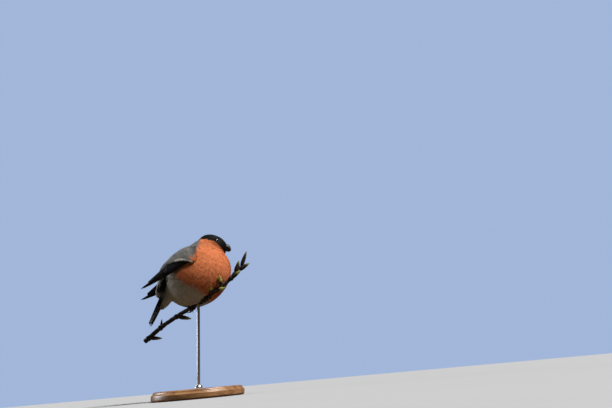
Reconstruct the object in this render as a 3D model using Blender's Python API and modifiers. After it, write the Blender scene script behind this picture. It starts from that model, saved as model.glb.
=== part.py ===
"""A male bullfinch, fluffed up on a budding twig, as a life-size museum model on a rod and a flat wooden base.

Metres, +Z up. The origin is the centre of the base's underside. The bird faces +X and its left side is towards +Y.
The bird's own measures are taken round the middle of its body, level and facing +X, and then it is set on its perch.
"""
import math

import bmesh
import bpy
from mathutils import Matrix, Vector

MM = 0.001
GAP = 0.3 * MM
CLEARANCE = 0.45 * MM
WELD = 0.004 * MM


def places(*rows):
    """Turns rows of millimetres into places in metres."""
    return [Vector(row) * MM for row in rows]


# Stand
BASE_RADIUS = 46 * MM
BASE_HEIGHT = 9 * MM
BASE_ROUNDING = 2 * MM
ROD_RADIUS = 1.6 * MM
COLLAR_RADIUS = 4 * MM
COLLAR_TOP_RADIUS = 2.8 * MM
COLLAR_HEIGHT = 3 * MM

# Where the bird sits: its middle, its heading, and a slight lean that brings its belly over the twig
BIRD_CENTRE = Vector((-3.5, 8.4, 130)) * MM
HEADING = math.radians(2)
LEAN = math.radians(-5)

# Body: an egg whose long axis rises forward. Lengths are along the axis, across the bird, and from belly to back
BODY_PITCH = math.radians(40)
TRUNK_CENTRE = Vector((3.2, 0, -2.5)) * MM
TRUNK_HALF = Vector((39.5, 32.5, 33.5)) * MM
BODY_VOXEL = 4.7 * MM
SMOOTH_ROUNDS = 3

HEAD_CENTRE = Vector((20.4, 0, 31.4)) * MM
HEAD_HALF = Vector((17.0, 13.2, 13.6)) * MM
HEAD_DROOP = math.radians(20)
NECK_THICKNESS = 7 * MM
NECK_SLOPE = math.radians(58)
HEAD_DEPTH = 7 * MM

# The fluffed coat's other swellings: centre, half lengths, and how steeply each one's long axis rises, in degrees
COAT_SWELLINGS = (
    ((8, 0, 20), (22, 18.5, 17), 40),
    ((-14, 0, 9.5), (25, 22, 15), 40),
    ((-26, 0, 0), (16, 17, 13), 50),
    ((-34, 0, -11), (17, 12, 7), 74),
    ((-26.5, 0, -21), (21, 8, 7), 61),
)

EYE_RADIUS = 2.7 * MM
EYE_CENTRE = Vector((23.4, 9.8, 34.4)) * MM

BILL_ROOT = Vector((30.6, 0, 32.0)) * MM
BILL_LENGTH = 12 * MM
BILL_DEPTH = 9.2 * MM
BILL_WIDTH = 8.6 * MM
BILL_TAPER = 0.28
BILL_DROOP = math.radians(22)
BILL_HOOK = 2.0 * MM
GAPE_DROP = 0.6 * MM
GAPE_SLOPE = math.radians(4)
LOWER_BILL_SHARE = 0.92

# Wings: a folded blade along each side of the back. Each edge is a smooth curve through four places on the left side
WING_TOP = places((-3, 22.5, 23.5), (-17, 19.5, 18.5), (-35.5, 15, 1.5), (-55.5, 14, -18.8))
WING_FOOT = places((-1, 31.5, 9), (-12, 30.5, 2), (-32, 21.5, -8.5), (-56, 13.5, -20.5))
WING_BULGE = 0.1
WING_THICKNESS = 3.4 * MM
WING_TIP_THICKNESS = 1.4 * MM
WING_TAPER = 40 * MM
WING_WRIST = 10 * MM
LEFT_WING_DROOP = math.radians(2)
LEFT_WING_SHIFT = Vector((-3, 0, -2.5)) * MM

# Tail: twelve folded feathers as one blade, widening to a notched end
TAIL_ROOT = Vector((-25.5, 0, 2)) * MM
TAIL_LENGTH = 62 * MM
TAIL_SLOPE = math.radians(70.5)
TAIL_ROOT_WIDTH = 16 * MM
TAIL_TIP_WIDTH = 19 * MM
TAIL_THICKNESS = 2.4 * MM
TAIL_NOTCH = 3.2 * MM
TAIL_CORNER = 0.7
TAIL_ROOF = 4.5 * MM

# Perch: places along the twig's centre line, from its cut end to the bud at its tip, measured from the bird's middle
TWIG_ROUTE = places(
    (-53, 24, -68.5),
    (-35.6, 17, -54.9),
    (-17.5, 7.5, -44.6),
    (-7.4, 0.8, -39.9),
    (2, -7.2, -35.0),
    (11.5, -14.6, -30.4),
    (21, -19.4, -25.2),
    (35.5, -22.8, -14.8),
    (49, -24, -1),
)
TWIG_STEPS = 2
TWIG_CUT_RADIUS = 2.5 * MM
TWIG_TIP_RADIUS = 1.8 * MM
# Each bud: the place on the twig (0 at the cut end, 1 at the tip), the way it points, its length and its half width
BUDS = (
    (1.00, (0.34, -0.20, 0.92), 19, 2.2),
    (0.97, (0.84, -0.22, 0.50), 15, 2.4),
    (0.94, (0.29, -0.26, 0.92), 15, 2.6),
    (0.90, (0.74, -0.30, 0.55), 12.5, 2.4),
    (0.81, (-0.20, -0.39, 0.90), 13, 2.1),
    (0.76, (0.87, -0.47, 0.17), 11, 2.1),
    (0.69, (-0.03, -0.58, 0.81), 12, 2.4),
    (0.235, (0.94, 0.05, -0.20), 16, 2.3),
    (0.12, (0.10, -0.20, 0.98), 9, 1.3),
    (0.03, (0.99, 0.03, -0.08), 14, 2.1),
)

# Legs and feet: where each foot holds the twig (0 to 1 along it), and how far its heel lies back, out and up
FOOT_PLACES = {"left": 0.415, "right": 0.625}
HEEL_OFFSET = Vector((-5, 3, 13)) * MM
TARSUS_RADIUS = 1.1 * MM
THIGH_HALF = Vector((6.5, 5.5, 6)) * MM
THIGH_SLOPE = math.radians(50)
BALL_HALF = Vector((1.6, 1.6, 1.15)) * MM
TOE_RADIUS = 0.95 * MM
TOE_WRAP = math.radians(165)
TOE_START = -0.09
TOE_SPREAD = 3.2 * MM
TOE_STEPS = 5
BACK_TOE_SHARE = 0.8
CLAW_LENGTH = 6 * MM
CLAW_ROOT = 0.62
CLAW_TIP = 0.3
CLAW_DROOP = 0.9 * MM
BELLY_HOLLOW = 6.2 * MM
HOLLOW_RISE = 2.0 * MM

RIGHT, LEFT = -1, 1
SIDES = {"left": LEFT, "right": RIGHT}
BIRD_POSE = Matrix.Translation(BIRD_CENTRE) @ Matrix.Rotation(HEADING, 4, "Z") @ Matrix.Rotation(LEAN, 4, "X")

for old in list(bpy.data.objects):
    bpy.data.objects.remove(old)
model = bpy.data.collections.new("bullfinch")
cutters = bpy.data.collections.new("cutters")
bpy.context.scene.collection.children.link(model)
bpy.context.scene.collection.children.link(cutters)


def finish(name, colour, roughness, metallic=0.0):
    """A plain material with one colour."""
    material = bpy.data.materials.new(name)
    material.use_nodes = True
    shader = material.node_tree.nodes["Principled BSDF"]
    shader.inputs["Base Color"].default_value = (*colour, 1)
    shader.inputs["Roughness"].default_value = roughness
    shader.inputs["Metallic"].default_value = metallic
    return material


def add_object(name, mesh, collection=model, material=None):
    """One named object in its collection. A cutter or guide isn't rendered."""
    obj = bpy.data.objects.new(name, mesh)
    collection.objects.link(obj)
    if collection is cutters:
        obj.hide_render = True
        obj.display_type = "WIRE"
    if material:
        mesh.materials.clear()
        mesh.materials.append(material)
    return obj


def mesh_of(bm, name):
    """Turns a bmesh into mesh data with its faces pointing out."""
    bmesh.ops.recalc_face_normals(bm, faces=bm.faces)
    mesh = bpy.data.meshes.new(name)
    bm.to_mesh(mesh)
    bm.free()
    return mesh


def baked(obj):
    """The mesh that an object shows with its modifiers, in world space, welded. The object is removed."""
    bpy.context.view_layer.update()
    depsgraph = bpy.context.evaluated_depsgraph_get()
    mesh = bpy.data.meshes.new_from_object(obj.evaluated_get(depsgraph), depsgraph=depsgraph)
    mesh.transform(obj.matrix_world)
    bm = bmesh.new()
    bm.from_mesh(mesh)
    bmesh.ops.remove_doubles(bm, verts=bm.verts, dist=WELD)
    bm.to_mesh(mesh)
    bm.free()
    bpy.data.objects.remove(obj)
    return mesh


def outward(mesh):
    """Makes a closed mesh's faces point out."""
    bm = bmesh.new()
    bm.from_mesh(mesh)
    bmesh.ops.recalc_face_normals(bm, faces=bm.faces)
    bm.to_mesh(mesh)
    bm.free()
    return mesh


def combine(mesh, tools, operation):
    """Joins the tool meshes to a mesh or cuts them from it, one at a time."""
    for tool in tools:
        obj = add_object("work", mesh.copy(), cutters)
        other = add_object("tool", tool, cutters)
        modifier = obj.modifiers.new("cut", "BOOLEAN")
        modifier.operation = operation
        modifier.solver = "EXACT"
        modifier.object = other
        mesh = baked(obj)
        bpy.data.objects.remove(other)
    return mesh


def swollen(mesh, distance=CLEARANCE):
    """A copy grown along its normals, which cuts the room that a piece needs in its neighbour."""
    obj = add_object("swell", mesh.copy(), cutters)
    modifier = obj.modifiers.new("swell", "DISPLACE")
    modifier.strength = distance
    modifier.mid_level = 0
    return baked(obj)


def thickened(mesh, thickness, thin_share=None, thin_weight=None):
    """A sheet given thickness to both sides. Where the weight of a vertex is 0, the sheet has only the thin share."""
    obj = add_object("sheet", mesh, cutters)
    solid = obj.modifiers.new("thickness", "SOLIDIFY")
    solid.thickness = thickness
    solid.offset = 0
    if thin_weight:
        group = obj.vertex_groups.new(name="thick")
        for vert in mesh.vertices:
            group.add([vert.index], thin_weight(vert.co), "REPLACE")
        solid.vertex_group = "thick"
        solid.thickness_vertex_group = thin_share
    return baked(obj)


def egg(bm, centre, half, slope=0.0, segments=20, rings=14):
    """Adds an ellipsoid to a bmesh. Its long axis is tipped up from +X by the slope."""
    scale = Matrix.Diagonal((*half, 1))
    place = Matrix.Translation(centre) @ Matrix.Rotation(-slope, 4, "Y") @ scale
    bmesh.ops.create_uvsphere(bm, u_segments=segments, v_segments=rings, radius=1, matrix=place)


def smooth_curve(points, t):
    """A place on the curve that runs through the points at even steps of t from 0 to 1 (Catmull-Rom)."""
    spans = len(points) - 1
    i = min(int(t * spans), spans - 1)
    u = t * spans - i
    p1, p2 = points[i], points[i + 1]
    p0 = points[i - 1] if i > 0 else 2 * p1 - p2
    p3 = points[i + 2] if i + 2 <= spans else 2 * p2 - p1
    bend = 2 * p0 - 5 * p1 + 4 * p2 - p3
    twist = 3 * p1 - p0 - 3 * p2 + p3
    return 0.5 * (2 * p1 + (p2 - p0) * u + bend * u ** 2 + twist * u ** 3)


def tube(points, radii, sides_level=2):
    """The mesh of a round bar along the points, with filled ends, each point with its own radius."""
    curve = bpy.data.curves.new("tube", "CURVE")
    curve.dimensions = "3D"
    curve.bevel_depth = 1
    curve.bevel_resolution = sides_level
    curve.use_fill_caps = True
    spline = curve.splines.new("POLY")
    spline.points.add(len(points) - 1)
    for spot, place, radius in zip(spline.points, points, radii):
        spot.co = (*place, 1)
        spot.radius = radius
    return baked(add_object("tube", curve, cutters))


def body_form():
    """The whole body with its coat, from bill base to undertail, as one soft closed form."""
    bm = bmesh.new()
    egg(bm, TRUNK_CENTRE, TRUNK_HALF, BODY_PITCH, 32, 20)
    egg(bm, HEAD_CENTRE, HEAD_HALF, -HEAD_DROOP)
    for centre, half, slope in COAT_SWELLINGS:
        egg(bm, Vector(centre) * MM, Vector(half) * MM, math.radians(slope))
    obj = add_object("body_form", mesh_of(bm, "body_form"), cutters)
    remesh = obj.modifiers.new("one_skin", "REMESH")
    remesh.mode = "VOXEL"
    remesh.voxel_size = BODY_VOXEL
    smooth = obj.modifiers.new("soften", "SMOOTH")
    smooth.factor = 0.5
    smooth.iterations = SMOOTH_ROUNDS
    mesh = baked(obj)
    mesh.transform(BIRD_POSE)
    return mesh


def slab(mesh, name, above=None, below=None):
    """The part of a closed mesh between two parallel planes, each a place on the neck's slope, with flat cut faces."""
    normal = Vector((math.cos(NECK_SLOPE), 0, math.sin(NECK_SLOPE)))
    bm = bmesh.new()
    bm.from_mesh(mesh)
    bm.transform(BIRD_POSE.inverted())
    for distance, lower in ((above, True), (below, False)):
        if distance is None:
            continue
        bmesh.ops.bisect_plane(
            bm,
            geom=bm.verts[:] + bm.edges[:] + bm.faces[:],
            plane_co=HEAD_CENTRE + normal * distance,
            plane_no=normal,
            clear_inner=lower,
            clear_outer=not lower,
        )
        bmesh.ops.holes_fill(bm, edges=[e for e in bm.edges if e.is_boundary])
    bm.transform(BIRD_POSE)
    return mesh_of(bm, name)


def wing_weight(place):
    """How thick the wing is at a place, from 0 at the tip and the wrist to 1 between them."""
    from_tip = (place.x - WING_TOP[-1].x) / WING_TAPER
    from_wrist = 0.25 + (WING_TOP[0].x - place.x) / WING_WRIST
    return min(1.0, max(0.0, from_tip), max(0.25, from_wrist))


def wing_mesh(side):
    """One folded wing: a sheet between its two edge curves, bulged out, given thickness and a thin tip."""
    bm = bmesh.new()
    bmesh.ops.create_grid(bm, x_segments=12, y_segments=4, size=1)
    for vert in bm.verts:
        t = (vert.co.x + 1) / 2
        across = (vert.co.y + 1) / 2
        foot = smooth_curve(WING_FOOT, t)
        chord = smooth_curve(WING_TOP, t) - foot
        place = foot + chord * across
        place.y += chord.length * WING_BULGE * 4 * across * (1 - across)
        vert.co = place
    mesh = thickened(mesh_of(bm, "wing"), WING_THICKNESS, WING_TIP_THICKNESS / WING_THICKNESS, wing_weight)
    if side == LEFT:
        hinge = WING_TOP[0]
        turn = Matrix.Rotation(-LEFT_WING_DROOP, 4, "Y")
        mesh.transform(Matrix.Translation(hinge + LEFT_WING_SHIFT) @ turn @ Matrix.Translation(-hinge))
    else:
        mesh.transform(Matrix.Diagonal((1, -1, 1, 1)))
    mesh.transform(BIRD_POSE)
    return outward(mesh)


def tail_mesh():
    """The folded tail: a slightly roofed blade, narrow at the root, with a notch in its end."""
    bm = bmesh.new()
    bmesh.ops.create_grid(bm, x_segments=7, y_segments=8, size=1)
    down = Vector((-math.cos(TAIL_SLOPE), 0, -math.sin(TAIL_SLOPE)))
    back = Vector((-math.sin(TAIL_SLOPE), 0, math.cos(TAIL_SLOPE)))
    for vert in bm.verts:
        t = (vert.co.x + 1) / 2
        across = vert.co.y
        width = TAIL_ROOT_WIDTH + (TAIL_TIP_WIDTH - TAIL_ROOT_WIDTH) * t
        reach = TAIL_LENGTH - TAIL_NOTCH * (1 - abs(across)) * t
        reach -= TAIL_NOTCH * max(0.0, abs(across) - TAIL_CORNER) * t
        roof = TAIL_ROOF * (1 - TAIL_CORNER * t) * across ** 2
        place = TAIL_ROOT + down * (reach * t) - back * roof
        place.y = across * width / 2
        vert.co = place
    mesh = thickened(mesh_of(bm, "tail"), TAIL_THICKNESS)
    mesh.transform(BIRD_POSE)
    return outward(mesh)


def bill_mesh():
    """The whole bill, short and swollen, with a curved ridge that ends in a small hook."""
    bm = bmesh.new()
    lying = Matrix.Rotation(math.radians(90), 4, "Y")
    bmesh.ops.create_uvsphere(bm, u_segments=14, v_segments=9, radius=1, matrix=lying)
    for vert in bm.verts:
        reach = (vert.co.x + 1) / 2
        girth = (1 - BILL_TAPER * reach ** 2) / 2
        hook = BILL_HOOK * max(0.0, 2 * reach - 1) ** 2
        vert.co = Vector((
            reach * BILL_LENGTH,
            vert.co.y * BILL_WIDTH * girth,
            vert.co.z * BILL_DEPTH * girth - hook,
        ))
    bm.transform(Matrix.Translation(BILL_ROOT) @ Matrix.Rotation(BILL_DROOP, 4, "Y"))
    return mesh_of(bm, "bill")


def bill_half(name, upper):
    """One half of the bill, above or below the line of the gape, cut back by half the gap."""
    slope = BILL_DROOP + GAPE_SLOPE
    normal = Vector((math.sin(slope), 0, math.cos(slope)))
    side = 1 if upper else -1
    bm = bmesh.new()
    bm.from_mesh(bill_mesh())
    bmesh.ops.bisect_plane(
        bm,
        geom=bm.verts[:] + bm.edges[:] + bm.faces[:],
        plane_co=BILL_ROOT + normal * (side * GAP / 2 - GAPE_DROP),
        plane_no=normal * side,
        clear_inner=True,
    )
    bmesh.ops.holes_fill(bm, edges=[e for e in bm.edges if e.is_boundary])
    if not upper:
        shorter = Matrix.Diagonal((LOWER_BILL_SHARE, 1, 1, 1))
        bm.transform(Matrix.Translation(BILL_ROOT) @ shorter @ Matrix.Translation(-BILL_ROOT))
    bm.transform(BIRD_POSE)
    return mesh_of(bm, name)


def eye_mesh(side, radius=EYE_RADIUS):
    bm = bmesh.new()
    centre = Vector((EYE_CENTRE.x, EYE_CENTRE.y * side, EYE_CENTRE.z))
    egg(bm, centre, Vector((radius, radius, radius)), 0, 12, 8)
    bm.transform(BIRD_POSE)
    return mesh_of(bm, "eye")


def twig_place(t):
    return BIRD_CENTRE + smooth_curve(TWIG_ROUTE, t)


def twig_way(t):
    """The twig's direction at a place on it."""
    step = 0.01
    return (twig_place(min(t + step, 1)) - twig_place(max(t - step, 0))).normalized()


def twig_radius(t):
    return TWIG_CUT_RADIUS + (TWIG_TIP_RADIUS - TWIG_CUT_RADIUS) * t


def twig_mesh(extra=0.0):
    count = (len(TWIG_ROUTE) - 1) * TWIG_STEPS
    stops = [i / count for i in range(count + 1)]
    return tube([twig_place(t) for t in stops], [twig_radius(t) + extra for t in stops])


def bud_mesh(place, way, length, half_width):
    """A pointed bud: an egg that narrows towards its tip, rooted in the twig."""
    bm = bmesh.new()
    bmesh.ops.create_uvsphere(bm, u_segments=7, v_segments=6, radius=1)
    for vert in bm.verts:
        height = (vert.co.z + 1) / 2
        girth = half_width * (1.25 - 0.8 * height)
        vert.co = Vector((vert.co.x * girth, vert.co.y * girth, height * length))
    turn = Vector((0, 0, 1)).rotation_difference(way).to_matrix().to_4x4()
    bm.transform(Matrix.Translation(place) @ turn)
    return mesh_of(bm, "bud")


def bud_meshes(extra=0.0):
    """Each bud on its own, grown by an extra width all round."""
    buds = []
    for t, way, length, half_width in BUDS:
        reach = length * MM + 2 * extra
        buds.append(bud_mesh(twig_place(t), Vector(way).normalized(), reach, half_width * MM + extra))
    return buds


def perch_mesh():
    """The twig with its buds, one closed body."""
    return combine(twig_mesh(), bud_meshes(), "UNION")


def grip_frame(side_name):
    """Where a foot holds the twig: the place, the twig's way, the way up from it, and the way across it, forward."""
    t = FOOT_PLACES[side_name]
    way = twig_way(t)
    up = Vector((0, 0, 1))
    up = (up - way * up.dot(way)).normalized()
    across = way.cross(up)
    forward = Vector((math.cos(HEADING), math.sin(HEADING), 0))
    if across.dot(forward) < 0:
        across = -across
    return twig_place(t), way, up, across


def toe_line(side_name):
    """How far the middle of a toe lies from the twig's centre line."""
    return twig_radius(FOOT_PLACES[side_name]) + TOE_RADIUS + 1.5 * GAP


def toe_mesh(side_name, shift, wrap):
    """One toe with its claw, wrapped round the twig from the top of the grip."""
    place, way, up, across = grip_frame(side_name)
    hold = toe_line(side_name)
    points = []
    radii = []
    for i in range(TOE_STEPS + 1):
        share = i / TOE_STEPS
        angle = wrap * (TOE_START + (1 - TOE_START) * share)
        rim = up * math.cos(angle) + across * math.sin(angle)
        slide = shift * (0.15 + 0.85 * share ** 0.6)
        points.append(place + rim * hold + way * slide)
        radii.append(TOE_RADIUS * (1.05 - 0.2 * share))
    ahead = (points[-1] - points[-2]).normalized()
    knuckle = points[-1]
    for share in (0.35, 0.7, 1.0):
        droop = Vector((0, 0, -CLAW_DROOP * share ** 2))
        points.append(knuckle + ahead * (CLAW_LENGTH * share) + droop)
        radii.append(TOE_RADIUS * (CLAW_ROOT - (CLAW_ROOT - CLAW_TIP) * share))
    return tube(points, radii, 1)


def foot_mesh(side_name):
    """Three toes forward and one back, joined at the ball of the foot."""
    place, way, up, across = grip_frame(side_name)
    ball = bmesh.new()
    egg(ball, place + up * (toe_line(side_name) + GAP), BALL_HALF, 0, 10, 8)
    toes = [toe_mesh(side_name, shift, TOE_WRAP) for shift in (-TOE_SPREAD, 0.0, TOE_SPREAD)]
    toes.append(toe_mesh(side_name, TOE_SPREAD / 8, -TOE_WRAP * BACK_TOE_SHARE))
    return combine(mesh_of(ball, "ball"), toes, "UNION")


def leg_mesh(side_name):
    """The scaly shank from the foot up, and the feathered thigh that it comes out of."""
    place, way, up, across = grip_frame(side_name)
    sole = place + up * (toe_line(side_name) + BALL_HALF.z + 3 * GAP + TARSUS_RADIUS / 2)
    offset = HEEL_OFFSET.copy()
    offset.y *= SIDES[side_name]
    heel = sole + offset
    radii = [TARSUS_RADIUS, TARSUS_RADIUS * 0.85, TARSUS_RADIUS * 1.3]
    shank = tube([sole, sole.lerp(heel, 0.5), heel], radii, 1)
    thigh = bmesh.new()
    egg(thigh, heel - offset * 0.25, THIGH_HALF, THIGH_SLOPE, 12, 10)
    return combine(shank, [mesh_of(thigh, "thigh")], "UNION")


def foot_hollow(side_name):
    """The room in the belly's coat where a foot and the twig press into it."""
    place, way, up, across = grip_frame(side_name)
    bm = bmesh.new()
    egg(bm, place + up * HOLLOW_RISE, Vector((BELLY_HOLLOW, BELLY_HOLLOW, BELLY_HOLLOW)), 0, 14, 10)
    return mesh_of(bm, "hollow")


def base_mesh():
    bm = bmesh.new()
    bmesh.ops.create_cone(
        bm,
        cap_ends=True,
        segments=40,
        radius1=BASE_RADIUS,
        radius2=BASE_RADIUS,
        depth=BASE_HEIGHT,
        matrix=Matrix.Translation((0, 0, BASE_HEIGHT / 2)),
    )
    rim = [e for e in bm.edges if all(abs(v.co.z - BASE_HEIGHT) < WELD for v in e.verts)]
    bmesh.ops.bevel(bm, geom=rim, offset=BASE_ROUNDING, segments=2, profile=0.5, affect="EDGES")
    return mesh_of(bm, "base")


def rod_bar(extra=0.0):
    """An upright bar from just over the base to the middle of the twig above it."""
    stops = [i / 200 for i in range(201)]
    top = next(twig_place(t).z for t in stops if twig_place(t).x >= 0)
    return tube([Vector((0, 0, BASE_HEIGHT + GAP)), Vector((0, 0, top + extra))], [ROD_RADIUS + extra] * 2)


def rod_mesh():
    """The rod, with its top end cut to the twig's shape."""
    return combine(rod_bar(), [twig_mesh(GAP)], "DIFFERENCE")


def collar_mesh():
    """A small ring round the foot of the rod."""
    bm = bmesh.new()
    bmesh.ops.create_cone(
        bm,
        cap_ends=True,
        segments=24,
        radius1=COLLAR_RADIUS,
        radius2=COLLAR_TOP_RADIUS,
        depth=COLLAR_HEIGHT,
        matrix=Matrix.Translation((0, 0, BASE_HEIGHT + GAP + COLLAR_HEIGHT / 2)),
    )
    foot = Vector((0, 0, BASE_HEIGHT))
    bore = tube([foot, foot + Vector((0, 0, 3 * COLLAR_HEIGHT))], [ROD_RADIUS + GAP] * 2)
    return combine(mesh_of(bm, "collar"), [bore], "DIFFERENCE")


def trunk_pieces(wings, tail, legs, bills):
    """Head, neck and trunk, cut from one form, with the room that wings, tail, legs, twig, bill and eyes need."""
    whole = body_form()
    head = slab(whole, "head", above=-HEAD_DEPTH + GAP / 2)
    neck = slab(whole, "neck", above=-HEAD_DEPTH - NECK_THICKNESS, below=-HEAD_DEPTH - GAP / 2)
    trunk = slab(whole, "trunk", below=-HEAD_DEPTH - NECK_THICKNESS - GAP)

    hollows = [foot_hollow(name) for name in SIDES]
    room = [swollen(mesh) for mesh in (*wings, tail, *legs)]
    sockets = [eye_mesh(side, EYE_RADIUS + GAP) for side in SIDES.values()]
    stand_room = [twig_mesh(CLEARANCE), rod_bar(CLEARANCE), *bud_meshes(CLEARANCE)]
    trunk = combine(trunk, [*stand_room, *hollows, *room], "DIFFERENCE")
    neck = combine(neck, [swollen(mesh) for mesh in wings], "DIFFERENCE")
    head = combine(head, [*(swollen(mesh) for mesh in bills), *sockets], "DIFFERENCE")
    return head, neck, trunk


def build():
    black = finish("black_plumage", (0.02, 0.02, 0.025), 0.45)
    orange = finish("orange_plumage", (0.72, 0.25, 0.11), 0.8)
    grey = finish("grey_plumage", (0.35, 0.35, 0.36), 0.8)
    wing_black = finish("wing_black", (0.02, 0.02, 0.03), 0.4)
    horn = finish("black_horn", (0.02, 0.02, 0.02), 0.3)
    dark_eye = finish("dark_eye", (0.03, 0.015, 0.01), 0.08)
    leg_brown = finish("leg_brown", (0.07, 0.04, 0.035), 0.55)
    bark = finish("bark", (0.06, 0.045, 0.04), 0.85)
    wood = finish("base_wood", (0.35, 0.2, 0.1), 0.45)
    steel = finish("rod_steel", (0.5, 0.5, 0.52), 0.35, 1.0)

    legs = {name: leg_mesh(name) for name in SIDES}
    wings = {name: wing_mesh(side) for name, side in SIDES.items()}
    tail = tail_mesh()
    bills = [bill_half("bill_upper", True), bill_half("bill_lower", False)]
    head, neck, trunk = trunk_pieces(wings.values(), tail, legs.values(), bills)

    pieces = [
        ("head", head, black),
        ("neck", neck, orange),
        ("trunk", trunk, orange),
        ("tail", tail, wing_black),
        ("bill_upper", bills[0], horn),
        ("bill_lower", bills[1], horn),
        ("perch", perch_mesh(), bark),
        ("stand_base", base_mesh(), wood),
        ("stand_rod", rod_mesh(), steel),
        ("stand_collar", collar_mesh(), steel),
    ]
    for name, side in SIDES.items():
        pieces.append((f"wing_{name}", wings[name], wing_black))
        pieces.append((f"eye_{name}", eye_mesh(side), dark_eye))
        pieces.append((f"leg_{name}", legs[name], grey))
        pieces.append((f"foot_{name}", foot_mesh(name), leg_brown))
    for name, mesh, material in pieces:
        mesh.name = name
        add_object(name, mesh, model, material)


build()
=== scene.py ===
"""The looks of a male bullfinch on a budding twig: its skin and coat, the twig, the rod and the turned base.

The bird's own measures are taken round the middle of its body, level and facing +X. Its pose comes last.
"""

import math

import bmesh
import bpy
import numpy as np
from mathutils import Matrix, Vector, noise
from mathutils.bvhtree import BVHTree


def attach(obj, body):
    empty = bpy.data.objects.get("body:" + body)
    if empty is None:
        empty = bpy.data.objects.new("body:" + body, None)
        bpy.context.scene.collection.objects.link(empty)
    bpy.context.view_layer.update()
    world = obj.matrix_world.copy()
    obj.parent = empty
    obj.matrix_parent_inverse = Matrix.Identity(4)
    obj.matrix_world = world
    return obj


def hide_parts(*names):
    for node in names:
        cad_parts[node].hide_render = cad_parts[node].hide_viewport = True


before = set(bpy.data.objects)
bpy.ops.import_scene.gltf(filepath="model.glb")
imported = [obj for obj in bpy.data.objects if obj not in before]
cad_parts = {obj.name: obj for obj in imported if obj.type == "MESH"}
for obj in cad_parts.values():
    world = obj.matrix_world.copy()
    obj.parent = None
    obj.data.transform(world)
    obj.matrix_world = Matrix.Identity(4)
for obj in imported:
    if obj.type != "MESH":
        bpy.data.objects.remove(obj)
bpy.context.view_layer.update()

MM = 0.001
UP = Vector((0, 0, 1))
SIDES = {"left": 1, "right": -1}


def places(*rows):
    """Turns rows of millimetres into places in metres."""
    return [Vector(row) * MM for row in rows]


# Where the bird sits
BIRD_CENTRE = Vector((-3.5, 8.4, 130)) * MM
HEADING = math.radians(2)
LEAN = math.radians(-5)
BIRD_POSE = Matrix.Translation(BIRD_CENTRE) @ Matrix.Rotation(HEADING, 4, "Z") @ Matrix.Rotation(LEAN, 4, "X")

# The flesh under the coat: the centre and half lengths of each swelling out to the feather tips, how steeply
# its long axis rises, and how deep the coat lies on it, in millimetres and degrees
SWELLINGS = (
    ((3.2, 0, -2.5), (39.5, 32.5, 33.5), 40, 2.6),
    ((20.4, 0, 31.4), (17.0, 13.2, 13.6), -20, 1.1),
    ((8, 0, 20), (22, 18.5, 17), 40, 1.9),
    ((-14, 0, 9.5), (25, 22, 15), 40, 2.5),
    ((-26, 0, 0), (16, 17, 13), 50, 2.4),
    ((-34, 0, -11), (17, 12, 7), 74, 2.4),
    ((-26.5, 0, -21), (21, 8, 7), 61, 2.2),
)
BODY_SLOPE = math.radians(40)
SKIN_LENGTH = 110 * MM
SKIN_VOXEL = 1.0 * MM
SKIN_SOFTENING = 45

EYE_RADIUS = 2.7 * MM
EYE_CENTRE = Vector((23.4, 9.8, 34.4)) * MM
EYE_LOOK = Vector((0.36, 0.91, 0.2)).normalized()
LID_RADIUS = 2.15 * MM
LID_THICKNESS = 0.36 * MM

BILL_ROOT = Vector((30.6, 0, 32.0)) * MM
BILL_LENGTH = 12 * MM
BILL_DEPTH = 9.2 * MM
BILL_WIDTH = 8.6 * MM
BILL_TAPER = 0.28
BILL_DROOP = math.radians(22)
BILL_HOOK = 2.0 * MM
GAPE_DROP = 0.6 * MM
GAPE_SLOPE = math.radians(4)
LOWER_BILL_SHARE = 0.92
BRISTLES = 150

# Wings: the two edge curves of the folded left wing, from the wrist back to the tip
WING_TOP = places((-3, 22.5, 23.5), (-17, 19.5, 18.5), (-35.5, 15, 1.5), (-55.5, 14, -18.8))
WING_FOOT = places((-1, 31.5, 9), (-12, 30.5, 2), (-32, 21.5, -8.5), (-56, 13.5, -20.5))
WING_BULGE = 0.1
LEFT_WING_DROOP = math.radians(2)
LEFT_WING_SHIFT = Vector((-3, 0, -2.5)) * MM
PRIMARIES = 9
SECONDARIES = 6
TERTIALS = 3
BIG_COVERTS = 9

TAIL_ROOT = Vector((-25.5, 0, 2)) * MM
TAIL_LENGTH = 62 * MM
TAIL_SLOPE = math.radians(69.4)
TAIL_ROOT_WIDTH = 16 * MM
TAIL_TIP_WIDTH = 19 * MM
TAIL_NOTCH = 3.2 * MM
TAIL_ROOF = 4.5 * MM
TAIL_PAIRS = 6

# The twig, from its cut end to the bud at its tip, measured from the bird's middle along the world's axes
TWIG_ROUTE = places(
    (-53, 24, -68.5),
    (-35.6, 17, -54.9),
    (-17.5, 7.5, -44.6),
    (-7.4, 0.8, -39.9),
    (2, -7.2, -35.0),
    (11.5, -14.6, -30.4),
    (21, -19.4, -25.2),
    (35.5, -22.8, -14.8),
    (49, -24, -1),
)
TWIG_CUT_RADIUS = 2.5 * MM
TWIG_TIP_RADIUS = 1.8 * MM
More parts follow.
